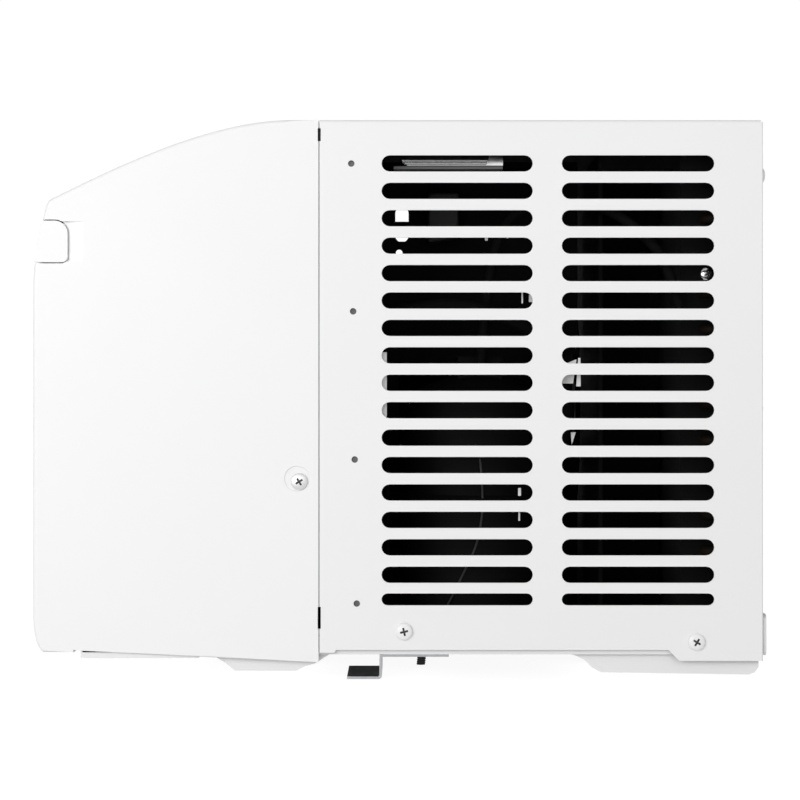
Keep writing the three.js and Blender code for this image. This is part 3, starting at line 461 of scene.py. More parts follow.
def settle(piece):
    # Makes the modifiers' result the piece's own mesh.
    graph = bpy.context.evaluated_depsgraph_get()
    mesh = bpy.data.meshes.new_from_object(piece.evaluated_get(graph))
    piece.modifiers.clear()
    piece.data = mesh
    return piece


def carve(piece, *cutters, operation="DIFFERENCE"):
    # Takes each cutter, given as (verts, faces), out of the piece, or joins it on.
    for index, parts in enumerate(cutters):
        tool = meshPiece(f"{piece.name}Cut{index}", *parts, None)
        change = piece.modifiers.new("cut", "BOOLEAN")
        change.operation = operation
        change.solver = "EXACT"
        change.use_self = False
        change.object = tool
        settle(piece)
        bpy.data.objects.remove(tool)
    return piece


def soften(piece, width, segments=2, angle=40, smoothAngle=35):
    # Rounds the sharp edges, then shades smooth with flat faces kept flat.
    change = piece.modifiers.new("round", "BEVEL")
    change.width = width
    change.segments = segments
    change.limit_method = "ANGLE"
    change.angle_limit = math.radians(angle)
    change.harden_normals = False
    settle(piece)
    shade(piece, smoothAngle)
    change = piece.modifiers.new("flat", "WEIGHTED_NORMAL")
    change.keep_sharp = True
    change.weight = 80
    return settle(piece)


def shade(piece, angle=35):
    for polygon in piece.data.polygons:
        polygon.use_smooth = True
    piece.data.set_sharp_from_angle(angle=math.radians(angle))
    return piece


def fit(piece, body, finish, *nodes):
    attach(piece, body)
    if nodes:
        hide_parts(*nodes)
    return piece


def paintNode(name, finish):
    node = frame["nodes"][name]
    if not node.material_slots:
        node.data.materials.append(finishes[finish])
    for slot in node.material_slots:
        slot.material = finishes[finish]


def softCopy(name, pieceName, finish, body="chassis", width=0.4 * mm, segments=2, angle=40, smoothAngle=35):
    # The CAD shape with its edges eased and a finish of its own.
    source = frame["nodes"][name]
    piece = bpy.data.objects.new(pieceName, source.data.copy())
    bpy.context.scene.collection.objects.link(piece)
    piece.data.materials.clear()
    piece.data.materials.append(finishes[finish])
    work = bmesh.new()
    work.from_mesh(piece.data)
    bmesh.ops.remove_doubles(work, verts=work.verts, dist=2e-6)
    bmesh.ops.dissolve_limit(work, angle_limit=math.radians(1), verts=work.verts, edges=work.edges)
    work.to_mesh(piece.data)
    work.free()
    soften(piece, width, segments, angle, smoothAngle)
    return fit(piece, body, finish, name)


# Camera, light and floor

view = {"distance": 1.25, "height": 194.5 * mm, "width": 554.8 * mm, "sensor": 36.0}


def makeCamera():
    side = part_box("outer_case")[1].x
    data = bpy.data.cameras.new("sideCamera")
    data.sensor_width = view["sensor"]
    data.lens = view["sensor"] * view["distance"] / view["width"]
    data.clip_start = 0.05
    camera = bpy.data.objects.new("sideCamera", data)
    camera.location = (side + view["distance"], 0, view["height"])
    camera.rotation_euler = (math.radians(90), 0, math.radians(90))
    bpy.context.scene.collection.objects.link(camera)
    bpy.context.scene.camera = camera


def makeLight(name, place, aim, size, power):
    data = bpy.data.lights.new(name, "AREA")
    data.shape = "RECTANGLE"
    data.size, data.size_y = size
    data.energy = power
    lamp = bpy.data.objects.new(name, data)
    lamp.location = place
    lamp.rotation_euler = (Vector(aim) - Vector(place)).to_track_quat("-Z", "Y").to_euler()
    bpy.context.scene.collection.objects.link(lamp)
    return lamp


stageShape = {"reach": 6.0, "drop": 0.2 * mm, "sky": 0.86, "skySide": 0.32, "seen": 1.02, "floorSeen": 0.94,
              "floorGlow": 0.52, "key": 19, "fill": 3}


def makeStage():
    values = stageShape
    world = bpy.data.worlds.new("studio")
    world.use_nodes = True
    bpy.context.scene.world = world
    tree = world.node_tree
    sky = tree.nodes["Background"]
    sky.inputs["Color"].default_value = (1, 1, 1, 1)
    split = addNode(tree, "ShaderNodeSeparateXYZ")
    tree.links.new(addNode(tree, "ShaderNodeTexCoord").outputs["Generated"], split.inputs[0])
    wide = mathAt(tree, "ABSOLUTE", split.outputs["X"])
    tree.links.new(rampAt(tree, wide, 0.15, 0.95, values["skySide"], values["sky"]), sky.inputs["Strength"])
    seen = addNode(tree, "ShaderNodeBackground")
    seen.inputs["Color"].default_value = (1, 1, 1, 1)
    seen.inputs["Strength"].default_value = values["seen"]
    pick = addNode(tree, "ShaderNodeMixShader")
    path = addNode(tree, "ShaderNodeLightPath")
    tree.links.new(path.outputs["Is Camera Ray"], pick.inputs[0])
    tree.links.new(sky.outputs[0], pick.inputs[1])
    tree.links.new(seen.outputs[0], pick.inputs[2])
    tree.links.new(pick.outputs[0], tree.nodes["World Output"].inputs["Surface"])
    reach = values["reach"]
    corners = [(-reach, -reach, 0), (reach, -reach, 0), (reach, reach, 0), (-reach, reach, 0)]
    floor = meshPiece("studioFloor", corners, [(0, 1, 2, 3)], None)
    floor.location.z = cadBox[0][2] - values["drop"]
    paper = bpy.data.materials.new("studioPaper")
    paper.use_nodes = True
    paperTree = paper.node_tree
    paperShader = paperTree.nodes["Principled BSDF"]
    paperShader.inputs["Roughness"].default_value = 0.9
    paperShader.inputs["Specular IOR Level"].default_value = 0.0
    paperShader.inputs["Emission Color"].default_value = (1, 1, 1, 1)
    paperPath = addNode(paperTree, "ShaderNodeLightPath")
    seenRay = paperPath.outputs["Is Camera Ray"]
    glow = rampAt(paperTree, seenRay, 0.0, 1.0, values["floorGlow"], values["floorSeen"])
    paperTree.links.new(glow, paperShader.inputs["Emission Strength"])
    place = addNode(paperTree, "ShaderNodeTexCoord").outputs["Object"]
    tone = rampAt(paperTree, noiseAt(paperTree, place, 3.0), 0.3, 0.7)
    paperTree.links.new(mixColor(paperTree, tone, (0.14, 0.14, 0.14), (0.16, 0.16, 0.16)),
                        paperShader.inputs["Base Color"])
    floor.data.materials.append(paper)
    makeLight("keyPanel", (1.95, -1.1, 0.6), (0.2, 0, 0.2), (1.4, 1.0), values["key"])
    makeLight("fillPanel", (2.2, 0.8, 0.9), (0.2, 0, 0.2), (1.4, 1.2), values["fill"])
    bpy.context.scene.view_settings.view_transform = "Standard"


makeCamera()
makeStage()
print("camera and stage set")


# Steel outer case

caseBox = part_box("outer_case")
caseShape = {
    "sheet": 1.2 * mm, "corner": 2.5 * mm, "edge": 0.3 * mm, "rearRound": 1.1 * mm,
    "slotDrop": 30.4 * mm, "slotPitch": 19.02 * mm, "slotRows": 16, "slotHeight": 11.3 * mm,
    "leftRaise": 12.2 * mm,
    "lastDrop": 332.8 * mm, "lastHeight": 8.3 * mm,
    "columns": ((43.1 * mm, 148.0 * mm), (168.1 * mm, 273.9 * mm)),
    "pilotRadius": 2.3 * mm, "pilots": ((22.1, 30.5), (23.4, 133.0), (24.5, 235.8), (25.9, 335.7)),
    "notches": ((6.0, 15.0), (338.0, 353.2)), "notchDepth": 0.9 * mm,
    "frontStep": 19.2 * mm, "sideBottom": 21.1 * mm, "underEdge": (-2, 10.5, 11.3, 242.1, 249.7),
}


def archOutline(half, top, sheet, corner, bottom):
    outer = [(half, bottom)] + arc(half - corner, top - corner, corner, 0, 90, 6)
    outer += arc(-half + corner, top - corner, corner, 90, 180, 6) + [(-half, bottom)]
    inner = [(-half + sheet, bottom)] + arc(-half + corner, top - corner, corner - sheet, 180, 90, 6)
    inner += arc(half - corner, top - corner, corner - sheet, 90, 0, 6) + [(half - sheet, bottom)]
    return outer + inner


def makeOuterCase():
    low, high = caseBox
    front, top, half = low.y, high.z, high.x
    shape = caseShape
    outline = archOutline(half, top, shape["sheet"], shape["corner"], low.z)
    case = prism("outerCaseShell", outline, "y", front, high.y, "case")
    past = half + 4 * mm
    step, bottom = shape["frontStep"], shape["sideBottom"]
    dip = [front + along * mm for along in shape["underEdge"]]
    under = [(dip[0], 0), (dip[0], step), (dip[1], step), (dip[2], bottom), (dip[3], bottom)]
    under += [(dip[4], low.z), (dip[4], 0)]
    holes = []
    for start, end in shape["columns"]:
        height = shape["slotHeight"]
        for row in range(shape["slotRows"]):
            z = top - shape["slotDrop"] - row * shape["slotPitch"]
            holes.append(prismParts(slotOutline(front + start, front + end, z, height, 8), "x", 0, past))
            z += shape["leftRaise"]
            holes.append(prismParts(slotOutline(front + start, front + end, z, height, 8), "x", -past, 0))
        last = slotOutline(front + start, front + end, top - shape["lastDrop"], shape["lastHeight"], 8)
        holes.append(prismParts(last, "x", 0, past))
    for along, drop in shape["pilots"]:
        outline = arc(front + along * mm, top - drop * mm, shape["pilotRadius"], 0, 330, 11)
        holes.append(prismParts(outline, "x", -past, past))
    for start, end in shape["notches"]:
        holes.append(boxParts((-past, front - mm, top - end * mm),
                              (past, front + shape["notchDepth"], top - start * mm)))
    holes.append(boxParts((-past, high.y - 1.3 * mm, top - 1.5 * mm), (past, high.y + mm, top + mm)))
    r = shape["rearRound"]
    rounds = []
    for side in (-1, 1):
        corner = [(half + mm, high.y - r), (half + mm, high.y + mm), (half - r, high.y + mm)]
        corner += arc(half - r, high.y - r, r, 90, 0, 5)
        rounds.append(prismParts([(side * x, y) for x, y in corner], "z", 0, top - 2 * mm))
    carve(case, joinParts(holes), joinParts(rounds), prismParts(under, "x", -past, past))
    # Inner faces of the sheet take the near-black finish: painted shade in place of their own white paint.
    case.data.materials.append(finishes["paintedInnerShade"])
    soften(case, shape["edge"], 2)
    sheet = shape["sheet"]
    for polygon in case.data.polygons:
        center, normal = polygon.center, polygon.normal
        inSide = abs(center.x) > half - 2 * sheet and normal.x * center.x < 0 and abs(normal.x) > 0.6
        inTop = center.z > top - 2 * sheet and normal.z < -0.6
        if inSide or inTop:
            polygon.material_index = 1
    return fit(case, "chassis", "case", "outer_case")


makeOuterCase()


def makeTabs():
    # Folded tabs of the bulkhead that the screws through the pilot holes would bite into.
    parts = []
    for side in (-1, 1):
        for along, drop in caseShape["pilots"]:
            y, z = caseBox[0].y + along * mm, caseBox[1].z - drop * mm
            near, far = sorted((side * (caseBox[1].x - 2.4 * mm), side * (caseBox[1].x - 2.9 * mm)))
            parts.append(boxParts((near, y - 5 * mm, z - 4 * mm), (far, y + 4 * mm, z + 4 * mm)))
    return fit(meshPiece("caseScrewTabs", *joinParts(parts), "tab"), "chassis", "tab")


makeTabs()
print("outer case built")


# Rear guard

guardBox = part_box("rear_guard")
guardShape = {"slotHalf": 64 * mm, "columns": (-146 * mm, 0, 146 * mm), "edge": 0.25 * mm,
              "screws": ((231.2, 38, 5.2, 2.9), (233.5, 200, 2.4, 1.2))}


def domeProfile(radius, height, rim=0.28, steps=6):
    # Low dome on a short straight rim, closed at both ends on the axis.
    points = [(0, -0.4 * mm), (radius, -0.4 * mm), (radius, height * rim)]
    for i in range(1, steps + 1):
        turn = math.radians(90 * i / steps)
        points.append((radius * math.cos(turn), height * (rim + (1 - rim) * math.sin(turn))))
    points[-1] = (0, height)
    return points


def crossParts(place, radius, height):
    # Tapered cross recess, from above the head down into it.
    arms = []
    for length, width in ((radius * 0.58, radius * 0.14), (radius * 0.14, radius * 0.58)):
        rim = [(-length, -width), (length, -width), (length, width), (-length, width)]
        base = [(x * 0.55, y * 0.55) for x, y in rim]
        verts = [place @ Vector((x, y, height * 0.3)) for x, y in base]
        verts += [place @ Vector((x, y, height + mm)) for x, y in rim]
        faces = [(0, 1, 5, 4), (1, 2, 6, 5), (2, 3, 7, 6), (3, 0, 4, 7), (3, 2, 1, 0), (4, 5, 6, 7)]
        arms.append((verts, faces))
    return arms


def turnTo(direction, center, spin=0.0):
    # Frame with its Z along the direction, set at the centre and spun about Z.
    aim = Vector(direction).to_track_quat("Z", "Y").to_matrix().to_4x4()
    return Matrix.Translation(center) @ aim @ Matrix.Rotation(math.radians(spin), 4, "Z")


def screwHead(name, center, direction, radius, height, spin, finish):
    place = turnTo(direction, center, spin)
    head = meshPiece(name, *latheParts(domeProfile(radius, height), 40, place), finish)
    carve(head, *crossParts(place, radius, height))
    soften(head, 0.1 * mm, 2, 30, 30)
    # Faces down in the cross recess take the dark recess finish: painted shade.
    head.data.materials.append(finishes["recess"])
    back = place.inverted()
    for polygon in head.data.polygons:
        spot = back @ polygon.center
        away = math.hypot(spot.x, spot.y)
        share = min(away / radius, 1)
        surface = height * (0.28 + 0.72 * math.sqrt(1 - share * share))
        if away < radius * 0.7 and spot.z < surface - 0.12 * height and spot.z > 0:
            polygon.material_index = 1
    return head


def makeRearGuard():
    low, high = guardBox
    shape = guardShape
    middle = (low.z + high.z) / 2
    outline = roundedOutline(0, middle, high.x - low.x, high.z - low.z, 4 * mm)
    guard = prism("rearGuardPlate", outline, "y", low.y, high.y, "case")
    holes = []
    for row in range(caseShape["slotRows"]):
        z = caseBox[1].z - caseShape["slotDrop"] - row * caseShape["slotPitch"]
        for x in shape["columns"]:
            slot = slotOutline(x - shape["slotHalf"], x + shape["slotHalf"], z, caseShape["slotHeight"], 8)
            holes.append(prismParts(slot, "y", low.y - mm, high.y + mm))
    carve(guard, joinParts(holes))
    # The guard's inward face takes the near-black finish: painted shade.
    guard.data.materials.append(finishes["paintedInnerShade"])
    soften(guard, shape["edge"], 2)
    for polygon in guard.data.polygons:
        if polygon.normal.y < -0.6:
            polygon.material_index = 1
    fit(guard, "chassis", "case", "rear_guard")
    spots = [(side, row) for side in (-1, 1) for row in shape["screws"]]
    for index, (side, (across, drop, radius, height)) in enumerate(spots):
        center = (side * across * mm, high.y, caseBox[1].z - drop * mm)
        spin = 20 + 35 * index
        name = f"guardScrew{index + 1}"
        head = screwHead(name, center, (0, 1, 0), radius * mm, height * mm, spin, "case")
        fit(head, "chassis", "case")
    return guard


makeRearGuard()
print("rear guard built")


# Moulded front cover

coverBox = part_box("front_cover")
seamRear = coverBox[1].y / mm
coverShape = {
    "wall": 2.5 * mm, "fillet": 2.6 * mm, "edge": 0.35 * mm, "curveSteps": 30, "frame": 13 * mm,
    "faceY": -254.8, "lip": (-245.1, 332.8), "underLip": (-248.1, 320), "tabFoot": (-254.4, 286),
    "roofKnots": (-76, -132, -200), "shoulderZ": 355.2, "chinZ": 49, "chinBendZ": 24,
    "chinY": -247.9, "bottomZ": 19.4, "noseEnd": -226.4, "rearBottom": 12.5, "topZ": 388.95,
    "outlet": (-205 * mm, 88 * mm, 38 * mm), "panel": (163 * mm, 57 * mm, 36 * mm), "sill": 33 * mm,
    "tabLow": 290 * mm, "tabHigh": 319 * mm, "tabRear": -230.6 * mm, "tabDepth": 2.5 * mm,
    "tabRound": 9 * mm, "tabLowRound": 4 * mm,
    "tabGap": 0.7 * mm, "scoopRear": -219.5 * mm, "scoopDepth": 2.6, "leverX": -221 * mm,
    "dimple": 9 * mm, "dimpleDepth": 0.9 * mm, "screwHole": 2.4 * mm,
    "seamNotches": ((35.8, 51), (374, 383)), "seamNotchDepth": 0.6 * mm,
    "screw": (-69.9 * mm, 137.9 * mm), "dimpleAt": (-71.5 * mm, 139.9 * mm),
}


def bezier(points, steps):
    result = []
    for i in range(steps + 1):
        t = i / steps
        row = [Vector(p) for p in points]
        while len(row) > 1:
            row = [a.lerp(b, t) for a, b in zip(row, row[1:])]
        result.append(tuple(row[0]))
    return result


def coverOutline(rear):
    # Side profile in millimetres with, for each point, how far the side edge's rounding pulls it in.
    shape = coverShape
    lip, under, foot = shape["lip"], shape["underLip"], shape["tabFoot"]
    flat, bend, shoulder = shape["roofKnots"]
    knots = [(flat, shape["topZ"]), (bend, shape["topZ"]), (shoulder, shape["shoulderZ"]), lip]
    top = bezier(knots, shape["curveSteps"])
    points = [((rear, shape["topZ"]), 0)]
    points += [(p, 1 if p[0] < -80 else 0.5) for p in top[:-1]]
    along = (Vector(lip) - Vector(top[-2])).normalized()
    down = (Vector(under) - Vector(lip)).normalized()
    nose = bezier([tuple(Vector(lip) - along * 4), lip, tuple(Vector(lip) + down * 4)], 6)
    points += [(p, 1) for p in nose]
    points += [(p, 1) for p in bezier([tuple(Vector(under).lerp(Vector(lip), 0.15)), under,
                                      tuple(Vector(under).lerp(Vector(foot), 0.1))], 4)]
    points += [(p, 1) for p in bezier([tuple(Vector(foot).lerp(Vector(under), 0.2)), foot,
                                      (shape["faceY"], foot[1] - 12)], 5)]
    points += [((shape["faceY"], z), 1) for z in (200, 120)]
    chin = bezier([(shape["faceY"], shape["chinZ"]), (shape["faceY"], shape["chinBendZ"]),
                   (shape["chinY"], shape["bottomZ"])], 12)
    points += [(p, 1) for p in chin]
    end = shape["noseEnd"]
    points += [((shape["chinY"] + 4, shape["bottomZ"]), 0.6), ((end, shape["bottomZ"]), 0.1)]
    points += [((end, shape["bottomZ"] + 1.6), 0.1), ((end + 2, shape["bottomZ"] + 1.2), 0.1)]
    points += [((-132.8, 15.9), 0.4), ((seamRear - 4, shape["rearBottom"]), 0.2)]
    points += [((rear, shape["rearBottom"]), 0)]
    return points


def pulledIn(points, amount):
    # Moves each outline point along its inward normal by amount times its own share.
    count = len(points)
    result = []
    for i in range(count):
        here = Vector(points[i][0])
        before = (here - Vector(points[i - 1][0])).normalized()
        after = (Vector(points[(i + 1) % count][0]) - here).normalized()
        normal = Vector((-(before.y + after.y), before.x + after.x))
        if normal.length < 1e-6:
            normal = Vector((-before.y, before.x))
        normal.normalize()
        result.append(tuple(here + normal * amount * points[i][1]))
    return result


def coverBlank(rear):
    shape = coverShape
    points = coverOutline(rear)
    fillet = shape["fillet"] / mm
    half = coverBox[1].x / mm
    stations = []
    steps = 6
    for i in range(steps + 1):
        turn = math.radians(90 * i / steps)
        stations.append((half - fillet * (1 - math.sin(turn)), fillet * (1 - math.cos(turn))))
    stations = [(-x, inset) for x, inset in stations[::-1]] + stations
    verts, faces = [], []
    count = len(points)
    for x, inset in stations:
        verts += [Vector((x, y, z)) * mm for y, z in pulledIn(points, inset)]
    for ring in range(len(stations) - 1):
        for i in range(count):
            j = (i + 1) % count
            a, b = ring * count, (ring + 1) * count
            faces.append((a + i, a + j, b + j, b + i))
    last = (len(stations) - 1) * count
    faces += [tuple(range(count)), tuple(range(last, last + count))[::-1]]
    return meshPiece("frontCoverShell", verts, faces, "cover")


def coverHollow(rear):
    shape = coverShape
    wall = shape["wall"] / mm
    lip, under, foot = shape["lip"], shape["underLip"], shape["tabFoot"]
    high = shape["topZ"] - wall
    points = [(rear + 5, high)]
    flat, bend, shoulder = shape["roofKnots"]
    points += bezier([(flat, high), (bend, high), (shoulder + 1, shape["shoulderZ"] - wall),
                      (lip[0] + wall, lip[1] - wall * 0.9)], 24)
    face = shape["faceY"] + wall
    points += [(under[0] + wall, under[1]), (foot[0] + wall, foot[1]), (face, foot[1] - 12)]
    points += bezier([(face, shape["chinZ"]), (face, shape["chinBendZ"] + wall),
                      (shape["chinY"] + wall, shape["bottomZ"] + wall)], 8)
    points += [(-224, shape["bottomZ"] + wall), (-224, 0), (rear + 5, 0)]
    half = coverBox[1].x - shape["wall"]
    return prismParts([(y * mm, z * mm) for y, z in points], "x", -half, half)


def placed(parts, place):
    verts, faces = parts
    return [place @ Vector(v) for v in verts], faces


def tabOutline(grow):
    # Finger tab seen from the side, grown to make its notch.
    shape = coverShape
    rear, low, high = shape["tabRear"] + grow, shape["tabLow"] - grow, shape["tabHigh"] + grow
    r, lowR = shape["tabRound"] + grow, shape["tabLowRound"] + grow
    return ([(-262 * mm, low)] + arc(rear - lowR, low + lowR, lowR, -90, 0, 6)
            + arc(rear - r, high - r, r, 0, 90, 10) + [(-262 * mm, high)])


def makeFrontCover():
    shape = coverShape
    rear = seamRear
    cover = coverBlank(rear)
    half = coverBox[1].x
    opening = half - shape["frame"]
    front = -262 * mm
    left, right, span = shape["outlet"]
    panelX, panelHalf, panelUp = shape["panel"]
    carve(cover, coverHollow(rear))
    inside = half - shape["wall"]
    bosses = []
    for side in (-1, 1):
        for near, far, ys, zs in ((inside + 0.5 * mm, inside - 6 * mm, (-234, -216), (284, 324)),
                                  (opening, opening + 6 * mm, (shape["faceY"] + 1, -249), (32.5, 42))):
            ends = sorted((side * near, side * far))
            bosses.append(boxParts((ends[0], ys[0] * mm, zs[0] * mm), (ends[1], ys[1] * mm, zs[1] * mm)))
    carve(cover, *bosses, operation="UNION")
    high = shape["tabHigh"] + shape["tabGap"]
    carve(cover, boxParts((-opening, front, shape["sill"]), (opening, -246 * mm, high)))
    low = shape["tabLow"] - shape["tabGap"]
    carve(cover, boxParts((-half + mm, front, low), (half - mm, -245 * mm, high)))
    reach = 12 * mm
    outlet = roundedOutline((left + right) / 2, 0, right - left, 2 * span, 2.5 * mm, 5)
    carve(cover, placed(prismParts(outlet, "z", -reach, reach), slopeMatrix))
    panel = roundedOutline(panelX, 0, 2 * panelHalf, 2 * panelUp, 3 * mm, 5)
    carve(cover, placed(prismParts(panel, "z", -reach, reach), slopeMatrix))
    lever = roundedOutline(shape["leverX"], 0, 5 * mm, 28 * mm, 2.45 * mm, 6)
    carve(cover, placed(prismParts(lever, "z", -reach, reach), slopeMatrix))
    screwY, screwZ = shape["screw"]
    for side in (-1, 1):
        inner = half - shape["tabDepth"] - shape["tabGap"]
        ends = (inner, half + 3 * mm) if side > 0 else (-half - 3 * mm, -inner)
        carve(cover, prismParts(tabOutline(shape["tabGap"]), "x", *ends))
        deep = shape["scoopDepth"]
        scoop = [(2, shape["scoopRear"] / mm), (0, shape["scoopRear"] / mm), (-deep * 0.3, -222.2),
                 (-deep * 0.75, -226.6), (-deep, -230.6), (-deep, -236), (2, -236)]
        outline = [(side * (half + x * mm), y * mm) for x, y in scoop]
        carve(cover, prismParts(outline, "z", shape["tabLow"] + 0.6 * mm, shape["tabHigh"] - 0.6 * mm))
        for low, high in shape["seamNotches"]:
            ends = sorted((side * (half + mm), side * (half - 4 * mm)))
            carve(cover, boxParts((ends[0], seamRear * mm - shape["seamNotchDepth"], low * mm),
                                  (ends[1], seamRear * mm + mm, high * mm)))
        place = turnTo((side, 0, 0), (side * half, *shape["dimpleAt"]))
        dish = [(0, -shape["dimpleDepth"]), (shape["dimple"] * 0.8, -shape["dimpleDepth"]),
                (shape["dimple"] * 0.93, -shape["dimpleDepth"] * 0.75), (shape["dimple"], 0),
                (shape["dimple"] + 0.4 * mm, mm), (0, mm)]
        carve(cover, latheParts(dish, 48, place))
        wide = shape["screwHole"]
        hole = [(0, -8 * mm), (wide, -8 * mm), (wide, mm), (0, mm)]
        carve(cover, latheParts(hole, 20, turnTo((side, 0, 0), (side * half, screwY, screwZ))))
    soften(cover, shape["edge"], 2, 32)
    return fit(cover, "chassis", "cover", "front_cover")


makeFrontCover()
print("front cover built")


# Intake grille with its finger tabs

grilleShape = {"face": 0.2, "back": 3.2, "barPitch": 7.6, "barRise": 2.6, "barThick": 1.5, "firstBar": 52,
               "lastBar": 280, "windows": ((-212, -77), (-70, 73), (80, 212)), "windowZ": 166,
               "windowHeight": 232, "windowRound": 4 * mm, "sideGap": 13.7, "edge": 0.28 * mm,
               "pinY": -252.9 * mm, "pinZ": 36.6 * mm, "pinRadius": mm, "pinLength": 8 * mm}


def makeGrille():
    shape = coverShape
    values = grilleShape
    half = coverBox[1].x / mm
    inside = half - values["sideGap"]
    faceY = shape["faceY"]
    front, back = faceY + values["face"], faceY + values["back"]
    foot, under = shape["tabFoot"], shape["underLip"]
    sill = shape["sill"] / mm
    top = shape["tabHigh"] / mm
    side = [(back, sill + 0.9), (front + 0.4, sill + 0.9), (front, sill + 6), (front, foot[1] - 12)]
    side += [(foot[0] + 0.2, foot[1]), (under[0] - 0.9, top), (under[0] + 2.1, top), (back, foot[1])]
    outline = [(y * mm, z * mm) for y, z in side]
    grille = prism("intakeGrilleFrame", outline, "x", -inside * mm, inside * mm, "cover")
    cuts = []
    for x0, x1 in values["windows"]:
        outline = roundedOutline((x0 + x1) / 2 * mm, values["windowZ"] * mm, (x1 - x0) * mm,
                                 values["windowHeight"] * mm, values["windowRound"])
        cuts.append(prismParts(outline, "y", -262 * mm, -249 * mm))
    carve(grille, joinParts(cuts))
    parts = []
    z = values["firstBar"]
    while z < values["lastBar"]:
        rise, thick = values["barRise"], values["barThick"]
        corners = [(front + 0.4, z), (back, z + rise), (back, z + rise + thick), (front + 0.4, z + thick)]
        section = [(a * mm, b * mm) for a, b in corners]
        for x0, x1 in values["windows"]:
            parts.append(prismParts(section, "x", (x0 - 2) * mm, (x1 + 2) * mm))
        z += values["barPitch"]
    for x in (-inside, -75, 75, inside - 3):
        parts.append(boxParts((x * mm, (back - 1) * mm, 48 * mm), ((x + 3) * mm, -245.8 * mm, 284 * mm)))
    for x0, x1 in values["windows"]:
        for share in (1 / 3, 2 / 3):
            x = x0 + (x1 - x0) * share
            parts.append(boxParts(((x - 0.8) * mm, (back - 1.2) * mm, 50 * mm),
                                  ((x + 0.8) * mm, (back + 1.2) * mm, 282 * mm)))
    rear, low, high = shape["tabRear"] / mm, shape["tabLow"] / mm, shape["tabHigh"] / mm
    topRound, lowRound = shape["tabRound"] / mm, shape["tabLowRound"] / mm
    wing = [(-253.6, low)] + arc(rear - lowRound, low + lowRound, lowRound, -90, 0, 6)
    wing += arc(rear - topRound, high - topRound, topRound, 0, 90, 10) + [(-249, high)]
    bridge = [(-248.6, high - 0.5), (-246.6, high - 0.5), (-251, low + 0.5), (-253, low + 0.5)]
    depth = shape["tabDepth"] / mm
    for s in (-1, 1):
        ends = sorted((s * half, s * (half - depth)))
        parts.append(prismParts([(y * mm, z * mm) for y, z in wing], "x", ends[0] * mm, ends[1] * mm))
        ends = sorted((s * (inside - 1), s * (half - 1)))
        parts.append(prismParts([(y * mm, z * mm) for y, z in bridge], "x", ends[0] * mm, ends[1] * mm))
        place = turnTo((s, 0, 0), (s * (inside - 4) * mm, values["pinY"], values["pinZ"]))
        radius, length = values["pinRadius"], values["pinLength"]
        parts.append(latheParts([(0, 0), (radius, 0), (radius, length), (0, length)], 20, place))
    rest = meshPiece("intakeGrilleBars", *joinParts(parts), "cover")
    soften(grille, values["edge"], 2)
    soften(rest, values["edge"], 2)
    fit(grille, "grille", "cover", "intake_grille")
    return fit(rest, "grille", "cover")


makeGrille()
print("grille built")


# Screws

screwShape = {"coverRadius": 5.9 * mm, "coverHeight": 2.5 * mm,
              "caseRadius": 6 * mm, "caseHeight": 2.7 * mm}


def setScrew(node, label, side, radius, height, spin, finish):
    low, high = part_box(node)
    middle = (low + high) / 2
    outer = high.x if side > 0 else low.x
    face = (outer - side * height, middle.y, middle.z)
    head = screwHead(label, face, (side, 0, 0), radius, height, spin, finish)
    fit(head, "chassis", finish, node)


def makeScrews():
    values = screwShape
    for side, word in ((1, "right"), (-1, "left")):
        label = word.title()
        setScrew(f"cover_screw_{word}", f"coverScrew{label}", side,
                 values["coverRadius"], values["coverHeight"], 32 * side, "satin")
        for place, spin in (("front", 14), ("rear", 58)):
            setScrew(f"case_screw_{word}_{place}", f"caseScrew{label}{place.title()}", side,
                     values["caseRadius"], values["caseHeight"], spin, "case")


makeScrews()
print("screws built")


# Base pan

panShape = {"edge": 0.5 * mm}
panPiece = softCopy("base_pan", "basePanShell", "pan", width=panShape["edge"], segments=2)
# Inward faces of the pan take the near-black finish: painted shade.
panPiece.data.materials.append(finishes["paintedInnerShade"])
for polygon in panPiece.data.polygons:
    inward = abs(polygon.center.x) < 234.5 * mm and polygon.center.z > 17 * mm
    if inward and polygon.center.y < 251 * mm:
        polygon.material_index = 1
print("base pan built")


# Window sill brackets and their studs

bracketShape = {"thick": 1.8 * mm, "bend": 2.4 * mm, "edge": 0.25 * mm, "legFront": 24.4 * mm,
                "studRadius": 3.2 * mm, "hole": 3.7 * mm, "thread": 0.35 * mm, "threadPitch": 1.5 * mm,
                "lean": 0.11, "nutRadius": 5.2 * mm, "nutHeight": 3.6 * mm}


